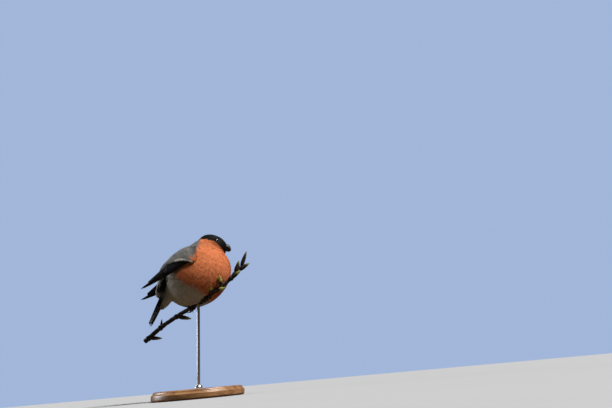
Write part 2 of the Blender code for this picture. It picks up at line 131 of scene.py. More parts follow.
# Each bud: its place on the twig, the way it points, its length and half width in millimetres, how far it has
# opened, and how green it is
BUDS = (
    (1.00, (0.34, -0.20, 0.92), 19, 2.2, 0.00, 0.30),
    (0.97, (0.84, -0.22, 0.50), 15, 2.4, 0.10, 0.40),
    (0.94, (0.29, -0.26, 0.92), 15, 2.6, 0.05, 0.30),
    (0.90, (0.74, -0.30, 0.55), 12.5, 2.4, 0.15, 0.60),
    (0.81, (-0.20, -0.39, 0.90), 13, 2.1, 0.55, 1.00),
    (0.76, (0.87, -0.47, 0.17), 11, 2.1, 0.40, 1.00),
    (0.69, (-0.03, -0.58, 0.81), 12, 2.4, 0.90, 0.85),
    (0.235, (0.94, 0.05, -0.20), 16, 2.3, 0.25, 0.50),
    (0.12, (0.10, -0.20, 0.98), 9, 1.3, 0.00, 0.20),
    (0.03, (0.99, 0.03, -0.08), 14, 2.1, 0.10, 0.45),
)

FOOT_PLACES = {"left": 0.415, "right": 0.625}
HEEL_OFFSET = Vector((-5, 3, 13)) * MM
TARSUS_RADIUS = 1.1 * MM
THIGH_HALF = Vector((6.5, 5.5, 6)) * MM
THIGH_SLOPE = math.radians(50)
THIGH_COAT = 1.6 * MM
BALL_HALF = Vector((1.6, 1.6, 1.15)) * MM
TOE_RADIUS = 0.95 * MM
TOE_WRAP = math.radians(165)
TOE_START = -0.09
TOE_SPREAD = 3.2 * MM
BACK_TOE_SHARE = 0.8
CLAW_LENGTH = 6 * MM

BASE_RADIUS = 46 * MM
BASE_HEIGHT = 9 * MM
ROD_RADIUS = 1.6 * MM
COLLAR_RADIUS = 4 * MM
COLLAR_HEIGHT = 3 * MM
COLLAR_BORE = 1.75 * MM
ROD_SHORTFALL = 1.2 * MM
GAP = 0.3 * MM


# Shared shape tools

def linked_object(name, data):
    """A new object in the scene, with this data."""
    obj = bpy.data.objects.new(name, data)
    bpy.context.scene.collection.objects.link(obj)
    return obj


def add_piece(mesh, name, material, replaced=()):
    """One finished piece of the object, which rides on the model's only body."""
    mesh.name = name
    mesh.materials.clear()
    mesh.materials.append(material)
    obj = linked_object(name, mesh)
    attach(obj, "root")
    if replaced:
        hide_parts(*replaced)


def mesh_of(bm, name, smooth=True):
    """Turns a bmesh into mesh data with smooth faces that point out."""
    bmesh.ops.recalc_face_normals(bm, faces=bm.faces)
    for face in bm.faces:
        face.smooth = smooth
    mesh = bpy.data.meshes.new(name)
    bm.to_mesh(mesh)
    bm.free()
    return mesh


def baked(obj):
    """The mesh that a work object shows with its modifiers. The object is removed."""
    bpy.context.view_layer.update()
    depsgraph = bpy.context.evaluated_depsgraph_get()
    mesh = bpy.data.meshes.new_from_object(obj.evaluated_get(depsgraph), depsgraph=depsgraph)
    bpy.data.objects.remove(obj)
    return mesh


def thickened(mesh, thickness, rounds=0):
    """A closed mesh made of an open sheet, rounded off as often as asked."""
    obj = linked_object("work", mesh)
    solid = obj.modifiers.new("thickness", "SOLIDIFY")
    solid.thickness = thickness
    solid.offset = 0
    if rounds:
        smooth = obj.modifiers.new("round", "SUBSURF")
        smooth.levels = smooth.render_levels = rounds
    return baked(obj)


def spin_round(bm, steps):
    """Sweeps what the bmesh holds once round the upright axis."""
    bmesh.ops.spin(
        bm,
        geom=bm.verts[:] + bm.edges[:],
        cent=(0, 0, 0),
        axis=UP,
        angle=math.tau,
        steps=steps,
        use_merge=True,
    )


def egg(bm, centre, half, slope=0.0, segments=32, rings=20):
    """Adds an ellipsoid to a bmesh. Its long axis is tipped up from +X by the slope."""
    place = Matrix.Translation(centre) @ Matrix.Rotation(-slope, 4, "Y") @ Matrix.Diagonal((*half, 1))
    bmesh.ops.create_uvsphere(bm, u_segments=segments, v_segments=rings, radius=1, matrix=place)


def tube(points, radii, sides_level):
    """The mesh of a round bar along the points, with filled ends, each point with its own radius."""
    curve = bpy.data.curves.new("tube", "CURVE")
    curve.dimensions = "3D"
    curve.bevel_depth = 1
    curve.bevel_resolution = sides_level
    curve.use_fill_caps = True
    spline = curve.splines.new("POLY")
    spline.points.add(len(points) - 1)
    for spot, place, radius in zip(spline.points, points, radii):
        spot.co = (*place, 1)
        spot.radius = radius
    bm = bmesh.new()
    bm.from_mesh(baked(linked_object("work", curve)))
    bmesh.ops.remove_doubles(bm, verts=bm.verts, dist=0.001 * MM)
    return mesh_of(bm, "tube")


def joined(meshes):
    """Several meshes in one."""
    bm = bmesh.new()
    for mesh in meshes:
        bm.from_mesh(mesh)
    whole = bpy.data.meshes.new("joined")
    bm.to_mesh(whole)
    bm.free()
    return whole


def add_masks(mesh, masks):
    """Gives the corners of a mesh their named values, which the materials read."""
    for key, values in masks.items():
        layer = mesh.attributes.new(key, "FLOAT", "POINT")
        layer.data.foreach_set("value", np.asarray(values, np.float32))


def mesh_from_arrays(name, verts, faces, masks, bake_places=None):
    """A mesh of many small things: places, faces of one size, masks, and places on the map for baking."""
    mesh = bpy.data.meshes.new(name)
    corners = faces.shape[1]
    mesh.vertices.add(len(verts))
    mesh.vertices.foreach_set("co", verts.astype(np.float32).ravel())
    mesh.loops.add(faces.size)
    mesh.loops.foreach_set("vertex_index", faces.astype(np.int32).ravel())
    mesh.polygons.add(len(faces))
    mesh.polygons.foreach_set("loop_start", np.arange(0, faces.size, corners, dtype=np.int32))
    mesh.polygons.foreach_set("use_smooth", np.ones(len(faces), bool))
    mesh.update(calc_edges=True)
    add_masks(mesh, masks)
    if bake_places is not None:
        layer = mesh.uv_layers.new(name="OFBake")
        layer.uv.foreach_set("vector", bake_places[faces.ravel()].astype(np.float32).ravel())
    mesh.validate()
    return mesh


def unit(rows):
    return rows / np.maximum(np.linalg.norm(rows, axis=-1, keepdims=True), 1e-12)


def ramp(value, low, high):
    """0 below low, 1 above high and a smooth rise between them."""
    share = np.clip((value - low) / (high - low), 0, 1)
    return share * share * (3 - 2 * share)


def posed(points):
    """Places on the bird, set on its perch."""
    pose = np.array(BIRD_POSE)
    return points @ pose[:3, :3].T + pose[:3, 3]


def curve_at(points, t):
    """Places on the smooth curve through the points, for t from 0 to 1. It runs straight on past its ends."""
    p = np.array([tuple(point) for point in points])
    spans = len(p) - 1
    x = np.asarray(t, float) * spans
    i = np.clip(np.floor(x).astype(int), 0, spans - 1)
    u = (x - i)[..., None]
    padded = np.vstack([2 * p[0] - p[1], p, 2 * p[-1] - p[-2]])
    p0, p1, p2, p3 = (padded[i + k] for k in range(4))
    bend = 2 * p0 - 5 * p1 + 4 * p2 - p3
    twist = 3 * p1 - p0 - 3 * p2 + p3
    on = 0.5 * (2 * p1 + (p2 - p0) * u + bend * u ** 2 + twist * u ** 3)
    before = p1 + (p2 - p0) / 2 * u
    after = p2 + (p3 - p1) / 2 * (u - 1)
    return np.where(u < 0, before, np.where(u > 1, after, on))


def eye_place(side):
    """The middle of one eye on the level bird, and the way that it looks."""
    return [Vector((v.x, v.y * side, v.z)) for v in (EYE_CENTRE, EYE_LOOK)]


def eye_pose(side):
    """Moves a shape that stands on the origin along +Z to the middle of one eye, facing out."""
    centre, look = eye_place(side)
    return Matrix.Translation(centre) @ UP.rotation_difference(look).to_matrix().to_4x4()


# Markings: how black, grey and white the coat is at places on the bird. Part of the black by the tail and the
# grey on the neck's fold is painted shade. What is none of these is orange. Each edge runs through places
# given by x and z in millimetres

CAP_EDGE = ((-8, 41), (5, 37.2), (13, 35), (19.5, 33.2), (24, 30.4), (28.6, 26.5), (33.2, 22), (38, 17))
MANTLE_EDGE = (
    (-30, -13), (-20.5, -6), (-13.4, -1), (-5.3, 8), (-2, 13.4), (4, 20.5), (6.5, 33), (8.5, 38), (10, 60)
)
BELLY_EDGE = ((-32, -2), (-22, -5), (-17.4, -11), (-12, -16), (-6, -20.5), (4, -24.6), (10.6, -28), (18, -31))
# A painted shadow: the fold between cheek and breast is drawn as a thin line in the grey share
CREASE = ((1, 33), (2.9, 31), (7.1, 28), (11.3, 26), (15.7, 25.3), (21, 25.2))
CREASE_HALF = 0.75
CREASE_SHADOW_GREY = 0.6
FLANK_END = -21
# The black covers beside the tail's root, together with painted shade in the same band: how far they reach
# behind its line and ahead of it, top and end
TAIL_COVERS_AND_SHADE = (-4.6, 3.6)
TAIL_COVERS_AND_SHADE_TOP = -7
TAIL_COVERS_AND_SHADE_END = -33


def edge_height(edge, x):
    """How high an edge runs at each place along the body."""
    return np.interp(x, [spot[0] for spot in edge], [spot[1] for spot in edge])


def markings(points):
    """The coat's share of black, grey and white at each place, with painted shade by the tail and in the
    neck's fold.
    """
    x, y, z = (points / MM).T
    side = np.abs(y)
    ragged = 0.5 * np.sin(1.9 * x + 0.7 * side) + 0.4 * np.sin(2.7 * z - 1.3 * x)
    cap = ramp(z - edge_height(CAP_EDGE, x), -0.5, 0.5)
    mantle = ramp(z - edge_height(MANTLE_EDGE, x) + ragged, -2.4, 2.4)
    belly = ramp(edge_height(BELLY_EDGE, x) - z + 1.5 * ragged, -4, 4)
    rump = ramp(FLANK_END - x + ragged, -1.5, 1.5) * ramp(edge_height(MANTLE_EDGE, x) + 3 - z, -1, 2)
    # Black coverts beside the tail's root and painted shade there, in one black band
    ahead_of_tail = x - (TAIL_ROOT.x / MM + (z - TAIL_ROOT.z / MM) / math.tan(TAIL_SLOPE))
    tail_cover_and_shade = ramp(ahead_of_tail, TAIL_COVERS_AND_SHADE[0] - 1, TAIL_COVERS_AND_SHADE[0])
    tail_cover_and_shade *= ramp(TAIL_COVERS_AND_SHADE[1] - ahead_of_tail, -1, 0)
    tail_cover_and_shade *= ramp(-z, -TAIL_COVERS_AND_SHADE_TOP - 1, -TAIL_COVERS_AND_SHADE_TOP + 2)
    tail_cover_and_shade *= ramp(z, TAIL_COVERS_AND_SHADE_END, TAIL_COVERS_AND_SHADE_END + 3)
    tail_cover_and_shade *= ramp(side, 3.5, 5.5)
    # Painted shadow along the neck's fold, added to the grey
    crease = np.exp(-((z - edge_height(CREASE, x)) / CREASE_HALF) ** 2) * ramp(x, 0, 4) * ramp(-x, -20, -14)
    return {
        "black": np.clip(cap + tail_cover_and_shade, 0, 1),
        "grey": np.maximum(mantle, CREASE_SHADOW_GREY * crease),
        "white": np.clip(belly + rump, 0, 1),
    }


# The skin and the lie of the coat on it

def grip_frame(side_name):
    """Where a foot holds the twig, and three ways there: along the twig, up from it and forward across it."""
    t = FOOT_PLACES[side_name]
    ahead, behind = (Vector(curve_at(TWIG_ROUTE, t + step)) for step in (0.01, -0.01))
    way = (ahead - behind).normalized()
    up = (UP - way * UP.dot(way)).normalized()
    across = way.cross(up)
    if across.dot(Vector((math.cos(HEADING), math.sin(HEADING), 0))) < 0:
        across = -across
    return BIRD_CENTRE + Vector(curve_at(TWIG_ROUTE, t)), way, up, across


def twig_radius(t):
    """The twig's radius at a share of its length from the cut end."""
    return TWIG_CUT_RADIUS + (TWIG_TIP_RADIUS - TWIG_CUT_RADIUS) * t


def grip_reach(side_name):
    """How far the middle of a toe is from the middle line of the twig."""
    return twig_radius(FOOT_PLACES[side_name]) + TOE_RADIUS + 1.5 * GAP


def shank_ends(side_name):
    """The sole and the heel of a leg, on the perch."""
    place, _, up, _ = grip_frame(side_name)
    sole = place + up * (grip_reach(side_name) + BALL_HALF.z)
    return sole, sole + Vector((HEEL_OFFSET.x, HEEL_OFFSET.y * SIDES[side_name], HEEL_OFFSET.z))


# How far the skin and the tufts keep from the middle line of the twig
TWIG_ROOM = 3.3 * MM
TUFT_ROOM = 2.7 * MM


def twig_gap(points):
    """How far places on the level bird are from the middle line of the twig that it sits on."""
    pose = np.array(BIRD_POSE)
    under_belly = curve_at(TWIG_ROUTE, np.linspace(0.25, 0.85, 150)) + np.array(BIRD_CENTRE)
    twig = (under_belly - pose[:3, 3]) @ pose[:3, :3]
    return np.linalg.norm(points[..., None, :] - twig, axis=-1).min(-1)


def body_skin():
    """One skin from the bill's base to the tail, without the coat, on the level bird."""
    bm = bmesh.new()
    for centre, half, slope, coat in SWELLINGS:
        egg(bm, Vector(centre) * MM, (Vector(half) - Vector((coat, coat, coat))) * MM, math.radians(slope))
    for side_name in SIDES:
        sole, heel = shank_ends(side_name)
        thigh = bmesh.new()
        egg(thigh, heel.lerp(sole, 0.25), THIGH_HALF - Vector((THIGH_COAT,) * 3), THIGH_SLOPE)
        thigh.transform(BIRD_POSE.inverted())
        bm.from_mesh(mesh_of(thigh, "thigh"))
    obj = linked_object("work", mesh_of(bm, "flesh"))
    remesh = obj.modifiers.new("one_skin", "REMESH")
    remesh.mode = "VOXEL"
    remesh.voxel_size = SKIN_VOXEL
    smooth = obj.modifiers.new("soften", "SMOOTH")
    smooth.factor = 0.5
    smooth.iterations = SKIN_SOFTENING
    skin = baked(obj)
    verts = mesh_arrays(skin)[0]
    dent = np.maximum(TWIG_ROOM - twig_gap(verts), 0)
    verts -= unit(verts) * dent[:, None]
    skin.vertices.foreach_set("co", verts.ravel())
    skin.update()
    return skin


def mesh_arrays(mesh):
    """The corner places and the triangles of a mesh."""
    verts = np.zeros(len(mesh.vertices) * 3)
    mesh.vertices.foreach_get("co", verts)
    mesh.calc_loop_triangles()
    triangles = np.zeros(len(mesh.loop_triangles) * 3, np.int32)
    mesh.loop_triangles.foreach_get("vertices", triangles)
    return verts.reshape(-1, 3), triangles.reshape(-1, 3)


# The place that the body's feathers point to, and how firmly their shafts hug the skin
TAIL_POINT = np.array((-40, 0, -54)) * MM
HUG = 0.45


def lie_of_coat(points, normals):
    """The way the feathers lie: back from the bill on the head, and on towards the tail behind it."""
    outward = points - np.array(BILL_ROOT)
    distance = np.linalg.norm(outward, axis=1, keepdims=True)
    on_body = ramp(distance, 20 * MM, 40 * MM)
    way = unit(outward) * (1 - on_body) + unit(TAIL_POINT - points) * on_body
    way = way - normals * (way * normals).sum(1, keepdims=True)
    return unit(way)


def from_bill(points):
    """How far each place is from the bill's root, in millimetres."""
    return np.linalg.norm(points - np.array(BILL_ROOT), axis=1) / MM


def coat_spacing(points):
    """How far the roots of the tufts keep from each other at each place."""
    return (0.62 + 0.82 * ramp(from_bill(points), 7, 44)) * MM


def coat_sizes(points):
    """The length, half width and depth of the tuft rooted at each place, smallest on the face."""
    x, _, z = (points / MM).T
    away = from_bill(points)
    back = ramp(away, 7, 34)
    loose = ramp(-x - z, 22, 48)
    rump = ramp(-x, 24, 34) * ramp(z, -16, -8)
    length = (2.3 + 7.7 * back + 1.0 * loose) * MM
    width = length * (0.27 + 0.03 * back)
    depth = (1.35 + 1.7 * ramp(away, 9, 24) - 0.6 * loose - 0.9 * rump) * MM
    return length, width, depth


ROOT_TRIES = 80000


def scatter_roots(verts, triangles, seed):
    """Roots spread over the skin, each further from the rest than the spacing at its place."""
    rng = np.random.default_rng(seed)
    corners = verts[triangles]
    areas = np.linalg.norm(np.cross(corners[:, 1] - corners[:, 0], corners[:, 2] - corners[:, 0]), axis=1) / 2
    weights = areas / coat_spacing(corners.mean(1)) ** 2
    chosen = rng.choice(len(triangles), ROOT_TRIES, p=weights / weights.sum())
    shares = rng.dirichlet((1, 1, 1), len(chosen))
    spots = (corners[chosen] * shares[:, :, None]).sum(1)
    spacings = coat_spacing(spots)
    cell = float(spacings.max())
    grid = {}
    kept = []
    for i, (spot, spacing) in enumerate(zip(spots.tolist(), spacings.tolist())):
        key = tuple(int(c // cell) for c in spot)
        near = (
            other
            for dx in (-1, 0, 1) for dy in (-1, 0, 1) for dz in (-1, 0, 1)
            for other in grid.get((key[0] + dx, key[1] + dy, key[2] + dz), ())
        )
        if all(math.dist(spot, other) > spacing for other in near):
            grid.setdefault(key, []).append(spot)
            kept.append(i)
    return spots[kept]


LINE_STEPS = 4


def trace_lines(tree, roots, lengths, turn):
    """Each tuft's shaft: places along it that follow the skin and the coat's lie, with the skin's normals."""
    def on_skin(points):
        found = [tree.find_nearest(Vector(point)) for point in points]
        return np.array([hit[0] for hit in found]), np.array([hit[1] for hit in found])

    place, normal = on_skin(roots)
    lines, normals = [place], [normal]
    for _ in range(LINE_STEPS):
        way = lie_of_coat(place, normal)
        aside = np.cross(normal, way)
        way = way * np.cos(turn)[:, None] + aside * np.sin(turn)[:, None]
        step = (lengths / LINE_STEPS)[:, None]
        ahead = place + way * step
        skin, skin_normal = on_skin(ahead)
        pull = skin - ahead
        reach = np.maximum(np.linalg.norm(pull, axis=1, keepdims=True), 1e-9)
        place = ahead + pull * np.minimum(1, HUG * step / reach)
        normal = unit(0.5 * normal + 0.5 * skin_normal)
        lines.append(place)
        normals.append(normal)
    return np.stack(lines, 1), np.stack(normals, 1)


STRAND_CORNERS = 5


def strand_pattern(strands):
    """One tuft's fan of strands: how far along, how far across and how loose each corner is, and faces."""
    along, across, loose = [], [], []
    half = 1.05 / strands
    for k in range(strands):
        out = 2 * (k + 0.5) / strands - 1
        root = 0.30 * abs(out)
        tip = 1 - 0.36 * out ** 2
        middle = root + 0.62 * (tip - root)
        along += [root, root, middle, middle, tip]
        across += [0.35 * out - half / 2, 0.35 * out + half / 2, 0.88 * out - half, 0.88 * out + half, out]
        loose += [0, 0, 0.3, 0.3, 1]
    strand = np.array(((0, 3, 1), (0, 2, 3), (2, 4, 3)))
    triangles = np.concatenate([strand + STRAND_CORNERS * k for k in range(strands)])
    return np.array(along), np.array(across), np.array(loose), triangles


# Tufts: how many strands each has, how deep its root is sunk, how steeply it rises there, how much its
# strands stray, and the size of its patch on the map for baking
TUFT_STRANDS = 20
ROOT_SINK = 0.35 * MM
RISE_POWER = 3.6
STRAY_ALONG = 0.05
STRAY_ACROSS = 0.10
STRAY_UP = 0.025
SWAY = 0.13
BAKE_PATCH = 0.003


def feather_mesh(
    name, lines, normals, widths, depths, seed, masks, strands=TUFT_STRANDS, sink=ROOT_SINK, fray=1.0, side=0
):
    """Many tufts in one mesh. Each is a fan of strands along its shaft, and rises from the skin to its depth.

    The strands are lit as the body under them is, so that the coat looks soft.
    """
    rng = np.random.default_rng(seed)
    along, across, loose, pattern = strand_pattern(strands)
    count, stops = lines.shape[0], lines.shape[1] - 1
    strand_of = np.repeat(np.arange(strands), STRAND_CORNERS)

    def stray(amount):
        return rng.normal(0, amount * fray, (count, strands))[:, strand_of] * loose

    u = np.clip(along + stray(STRAY_ALONG), 0, 1.1)
    v = across + stray(STRAY_ACROSS)
    i = np.minimum((u * stops).astype(int), stops - 1)
    f = (u * stops - i)[..., None]
    rows = np.arange(count)[:, None]
    shaft = lines[rows, i] * (1 - f) + lines[rows, i + 1] * f
    up = unit(normals[rows, i] * (1 - f) + normals[rows, i + 1] * f)
    way = unit(lines[rows, i + 1] - lines[rows, i])
    aside = np.cross(up, way)
    rise = 1 - (1 - np.minimum(u, 1)) ** RISE_POWER - 0.10 * u ** 4
    height = depths[:, None] * (rise + stray(STRAY_UP)) - sink - 0.07 * widths[:, None] * v ** 2
    verts = (shaft + aside * (v * widths[:, None])[..., None] + up * height[..., None]).reshape(-1, 3)
    sway = rng.normal(0, SWAY, (count, strands))[:, strand_of][..., None]
    soft = unit(up + aside * (0.30 * v[..., None] + sway)).reshape(-1, 3)
    corners = len(along)
    faces = (pattern[None] + (np.arange(count) * corners)[:, None, None]).reshape(-1, 3)
    full = {key: np.repeat(values, corners) for key, values in masks.items()}
    full["reach"] = u.ravel()
    full["chance"] = np.repeat(rng.random(count), corners)
    full["barb"] = rng.random((count, strands))[:, strand_of].ravel()
    spots = skin_map(lines[:, 0])
    spots = BAKE_PATCH + (1 - 2 * BAKE_PATCH) * (spots - spots.min(0)) / np.ptp(spots, axis=0)
    patch = np.stack([0.5 * v, u - 0.5], -1) * BAKE_PATCH
    bake = np.clip(spots[:, None] + patch, 0, 1).reshape(-1, 2)
    placed = on_perch(verts, side)
    lit_as = unit(on_perch(verts + soft * MM, side) - placed)
    mesh = mesh_from_arrays(name, placed, faces[:, ::-1] if side < 0 else faces, full, bake)
    mesh.normals_split_custom_set_from_vertices(lit_as)
    return mesh


def skin_map(points):
    """The skin unrolled round the body's long axis: the turn about it and the way along it."""
    axis = np.array((math.cos(BODY_SLOPE), 0, math.sin(BODY_SLOPE)))
    back = np.array((-math.sin(BODY_SLOPE), 0, math.cos(BODY_SLOPE)))
    turn = np.arctan2(points[:, 1], points @ back) / math.tau + 0.5
    return np.stack([turn, points @ axis / SKIN_LENGTH + 0.5], 1)


def near_wing(points):
    """How far each place on the body lies under a wing, from 0 outside to 1 well under it."""
    x, y, z = (points / MM).T
    top, foot = (curve_at(edge, np.linspace(0, 1, 30)) / MM for edge in (WING_TOP, WING_FOOT))
    high = np.interp(-x, -top[:, 0], top[:, 2])
    low = np.interp(-x, -foot[:, 0], foot[:, 2])
    return ramp(high - z, 1.5, 4) * ramp(z - low, 1.5, 4) * ramp(-x, 6, 9) * ramp(np.abs(y), 8, 10)


# The tracts of the coat, in millimetres on the level bird. A tuft belongs to the first that has its root
TRACTS = {
    "head": lambda x, y, z: z + 0.45 * x > 35,
    "breast_left": lambda x, y, z: (x + 0.2 * z > 3) & (y >= 0),
    "breast_right": lambda x, y, z: (x + 0.2 * z > 3) & (y < 0),
    "back": lambda x, y, z: z - 0.8 * x > 16,
    "flank_left": lambda x, y, z: (x > -24) & (y >= 0),
    "flank_right": lambda x, y, z: (x > -24) & (y < 0),
    "rump_and_vent": lambda x, y, z: np.full(len(x), True),
}
# The bare places round each eye and under the bill
EYE_BARE = 2.45 * MM
BILL_BARE = (4.5, 4.0, 4.3)


def coat_of_body(skin, material):
    """The contour feathers, from small ones round the bill to long loose ones at the vent, tract by tract."""
    verts, triangles = mesh_arrays(skin)
    tree = BVHTree.FromPolygons(verts.tolist(), triangles.tolist())
    roots = scatter_roots(verts, triangles, 3)
    for side in SIDES.values():
        centre, look = (np.array(v) for v in eye_place(side))
        roots = roots[np.linalg.norm(roots - (centre + look * EYE_RADIUS * 0.7), axis=1) > EYE_BARE]
    inside_bill = np.linalg.norm((roots - np.array(BILL_ROOT)) / np.array(BILL_BARE), axis=1) < MM
    roots = roots[~inside_bill & (near_wing(roots) < 0.9)]
    rng = np.random.default_rng(5)
    rng.shuffle(roots)
    length, width, depth = coat_sizes(roots)
    length = length * rng.normal(1, 0.08, len(roots))
    depth = depth * np.clip(rng.normal(1, 0.04, len(roots)), 0.85, 1.15)
    lines, normals = trace_lines(tree, roots, length, rng.normal(0, 0.14, len(roots)))
    masks = markings(lines[:, 2])
    shafts = lines[:, 1:] + normals[:, 1:] * depth[:, None, None]
    left_over = twig_gap(shafts).min(1) > TUFT_ROOM
    for tract, belongs in TRACTS.items():
        chosen = left_over & belongs(*(roots / MM).T)
        left_over &= ~chosen
        mesh = feather_mesh(
            f"coat_{tract}",
            lines[chosen],
            normals[chosen],
            width[chosen],
            depth[chosen],
            len(tract),
            {key: values[chosen] for key, values in masks.items()},
            fray=1.5 if tract == "rump_and_vent" else 1.0,
        )
        add_piece(mesh, f"coat_{tract}", material)


# Wings and tail

def wing_surface(t, a):
    """Places and outward normals on the folded left wing, for arrays of the way back t and the way up a."""
    def place(t, a):
        foot = curve_at(WING_FOOT, t)
        chord = curve_at(WING_TOP, t) - foot
        spot = foot + chord * a[..., None]
        spot[..., 1] += np.linalg.norm(chord, axis=-1) * WING_BULGE * 4 * a * (1 - a)
        return spot

    t, a = np.broadcast_arrays(np.asarray(t, float), np.asarray(a, float))
    step = 0.01
    back = place(t + step, a) - place(t - step, a)
    rise = place(t, a + step) - place(t, a - step)
    normal = unit(np.cross(back, rise))
    normal = normal * np.sign(normal[..., 1:2])
    return place(t, a), normal


def set_wing(verts, side):
    """Puts shapes made on the left wing's sheet on the wing of that side, on the perch."""
    if side > 0:
        hinge = np.array(WING_TOP[0])
        turn = np.array(Matrix.Rotation(-LEFT_WING_DROOP, 3, "Y"))
        verts = (verts - hinge) @ turn.T + hinge + np.array(LEFT_WING_SHIFT)
    else:
        verts = verts * np.array((1, -1, 1))
    return posed(verts)


def on_perch(verts, side):
    """Puts shapes on the perch: those with a side come from the wing's sheet, the others from the body."""
    return set_wing(verts, side) if side else posed(verts)


# The section of a vane: places across it, its raised shaft, how thick it is and how far it arches
ACROSS = np.array((-1, -0.62, -0.09, 0, 0.09, 0.62, 1))
RIDGE = np.array((0, 0.35, 0.55, 1.0, 0.55, 0.35, 0))
VANE_THICKNESS = 0.28 * MM
VANE_ARCH = 0.12


def vane_solids(line, normal, outer, inner):
    """One closed flat feather with a raised shaft along a line, with its own width on each side of it."""
    way = unit(np.gradient(line, axis=0))
    aside = np.cross(normal, way)
    half = np.where(ACROSS[None] < 0, inner[:, None], outer[:, None])
    flat = line[:, None] + aside[:, None] * (half * ACROSS)[..., None]
    sag = VANE_ARCH * half * ACROSS ** 2
    top = flat + normal[:, None] * (RIDGE * VANE_THICKNESS - sag)[..., None]
    bottom = flat - normal[:, None] * (0.4 * VANE_THICKNESS * (1 - np.abs(ACROSS)) + sag)[..., None]
    ring = np.concatenate([top, bottom[:, -2:0:-1]], axis=1)
    across = np.concatenate([ACROSS, ACROSS[-2:0:-1]])
    return ring, across


def rings_to_mesh(name, feathers, tones, side=0):
    """Joins closed feathers, each a stack of rings, in one mesh. A tone is a feather's chance and pallor."""
    verts, faces = [], []
    masks = {"along": [], "over": [], "chance": [], "pale": []}
    first = 0
    for (ring, across), tone in zip(feathers, tones):
        stops, sides = ring.shape[:2]
        index = first + np.arange(stops * sides).reshape(stops, sides)
        wrap = np.roll(index, -1, axis=1)
        faces.append(np.stack([index[:-1], index[1:], wrap[1:], wrap[:-1]], -1).reshape(-1, 4))
        for end, flip in ((index[0], 1), (index[-1], -1)):
            cap = [(end[j], end[j + 1], end[sides - 1 - j], end[sides - j]) for j in range(1, sides // 2)]
            faces.append(np.array(cap)[:, ::flip])
        verts.append(ring.reshape(-1, 3))
        for key, values in zip(masks, (np.linspace(0, 1, stops)[:, None], across, *tone)):
            masks[key].append(np.broadcast_to(values, (stops, sides)).ravel())
        first += stops * sides
    masks = {key: np.concatenate(values) for key, values in masks.items()}
    mesh = mesh_from_arrays(name, on_perch(np.concatenate(verts), side), np.concatenate(faces), masks)
    bm = bmesh.new()
    bm.from_mesh(mesh)
    bmesh.ops.remove_doubles(bm, verts=bm.verts, dist=0.002 * MM)
    bmesh.ops.recalc_face_normals(bm, faces=bm.faces)
    bm.to_mesh(mesh)
    bm.free()
    return mesh


def wing_feather(t_ends, a_ends, heights, width, outer_share=0.36, tip=0.5, stops=18):
    """One flight feather or covert on the wing's sheet, from root to tip."""
    s = np.linspace(0, 1, stops)
    t = t_ends[0] + (t_ends[1] - t_ends[0]) * s
    a = a_ends[0] + (a_ends[1] - a_ends[0]) * ramp(s, -0.2, 1.1)
    spot, normal = wing_surface(t, a)
    line = spot + normal * (heights[0] + (heights[1] - heights[0]) * s)[:, None]
    outline = np.minimum(1, (s / 0.12 + 0.35)) * np.clip((1 - s ** (2 + 5 * tip)), 0, 1) ** 0.5
    outline = np.maximum(outline, 0.02)
    return vane_solids(line, normal, width * outer_share * outline, width * (1 - outer_share) * outline)


def flight_feathers(side_name):
    """The folded wing: primaries undermost, then secondaries, tertials and the big coverts with pale ends."""
    feathers, tones = [], []
    rng = np.random.default_rng(11 if side_name == "left" else 12)

    def add(pale=0.0, **how):
        feathers.append(wing_feather(**how))
        tones.append((rng.random(), pale))

    for k in range(PRIMARIES):
        share = k / (PRIMARIES - 1)
        tip_t = 0.70 + 0.30 * min(1, share * 1.15) - 0.02 * max(0, share - 0.87) / 0.13
        add(
            t_ends=(0.10 + 0.10 * share, tip_t),
            a_ends=(0.42 - 0.36 * share, 0.62 - 0.50 * share),
            heights=((0.5 - 0.10 * k) * MM, (0.75 - 0.09 * k) * MM),
            width=(7.0 - 2.2 * share) * MM,
            outer_share=0.30,
            tip=0.35,
        )
    for k in range(SECONDARIES):
        share = k / (SECONDARIES - 1)
        add(
            t_ends=(0.16 - 0.05 * share, 0.66 - 0.06 * share),
            a_ends=(0.20 + 0.38 * share, 0.22 + 0.46 * share),
            heights=((0.7 + 0.07 * k) * MM, (0.95 + 0.09 * k) * MM),
            width=7.0 * MM,
            tip=0.8,
        )
    for k in range(TERTIALS):
        add(
            t_ends=(0.10, 0.60 - 0.06 * k),
            a_ends=(0.58 + 0.08 * k, 0.66 + 0.08 * k),
            heights=((1.2 + 0.12 * k) * MM, (1.55 + 0.14 * k) * MM),
            width=7.5 * MM,
            tip=0.8,
        )
    for k in range(BIG_COVERTS):
        share = k / (BIG_COVERTS - 1)
        add(
            pale=1.0,
            t_ends=(0.06 + 0.15 * share, 0.21 + 0.26 * share),
            a_ends=(-0.12 + 0.56 * share, -0.15 + 0.56 * share),
            heights=((1.35 + 0.03 * k) * MM, (1.75 + 0.05 * k) * MM),
            width=5.4 * MM,
            tip=0.9,
            stops=14,
        )
    return rings_to_mesh(f"wing_{side_name}_vanes", feathers, tones, SIDES[side_name])


PAD_DEPTH = 0.9 * MM
PAD_THICKNESS = 1.0 * MM


def wing_pad(side_name):
    """The folded arm and hand, a thin dark pad under the wing's feathers that closes the gaps in them."""
    bm = bmesh.new()
    bmesh.ops.create_grid(bm, x_segments=40, y_segments=12, size=1)
    spots = np.array([vert.co[:] for vert in bm.verts])
    place, normal = wing_surface(0.46 + 0.44 * spots[:, 0], 0.5 + 0.40 * spots[:, 1])
    for vert, spot in zip(bm.verts, set_wing(place - normal * PAD_DEPTH, SIDES[side_name])):
        vert.co = spot
    pad = thickened(mesh_of(bm, "pad"), PAD_THICKNESS)
    bm = bmesh.new()
    bm.from_mesh(pad)
    return mesh_of(bm, "pad")


# Where the small coverts end above the bar: the way back along the wing, and the way up it
COVER_EDGE = ((-0.08, 0.0, 0.13, 0.26, 0.42), (-0.40, -0.16, 0.12, 0.40, 0.66))
COVER_HALF_WIDTH = 2.9 * MM
COVER_DEPTH = 1.1 * MM


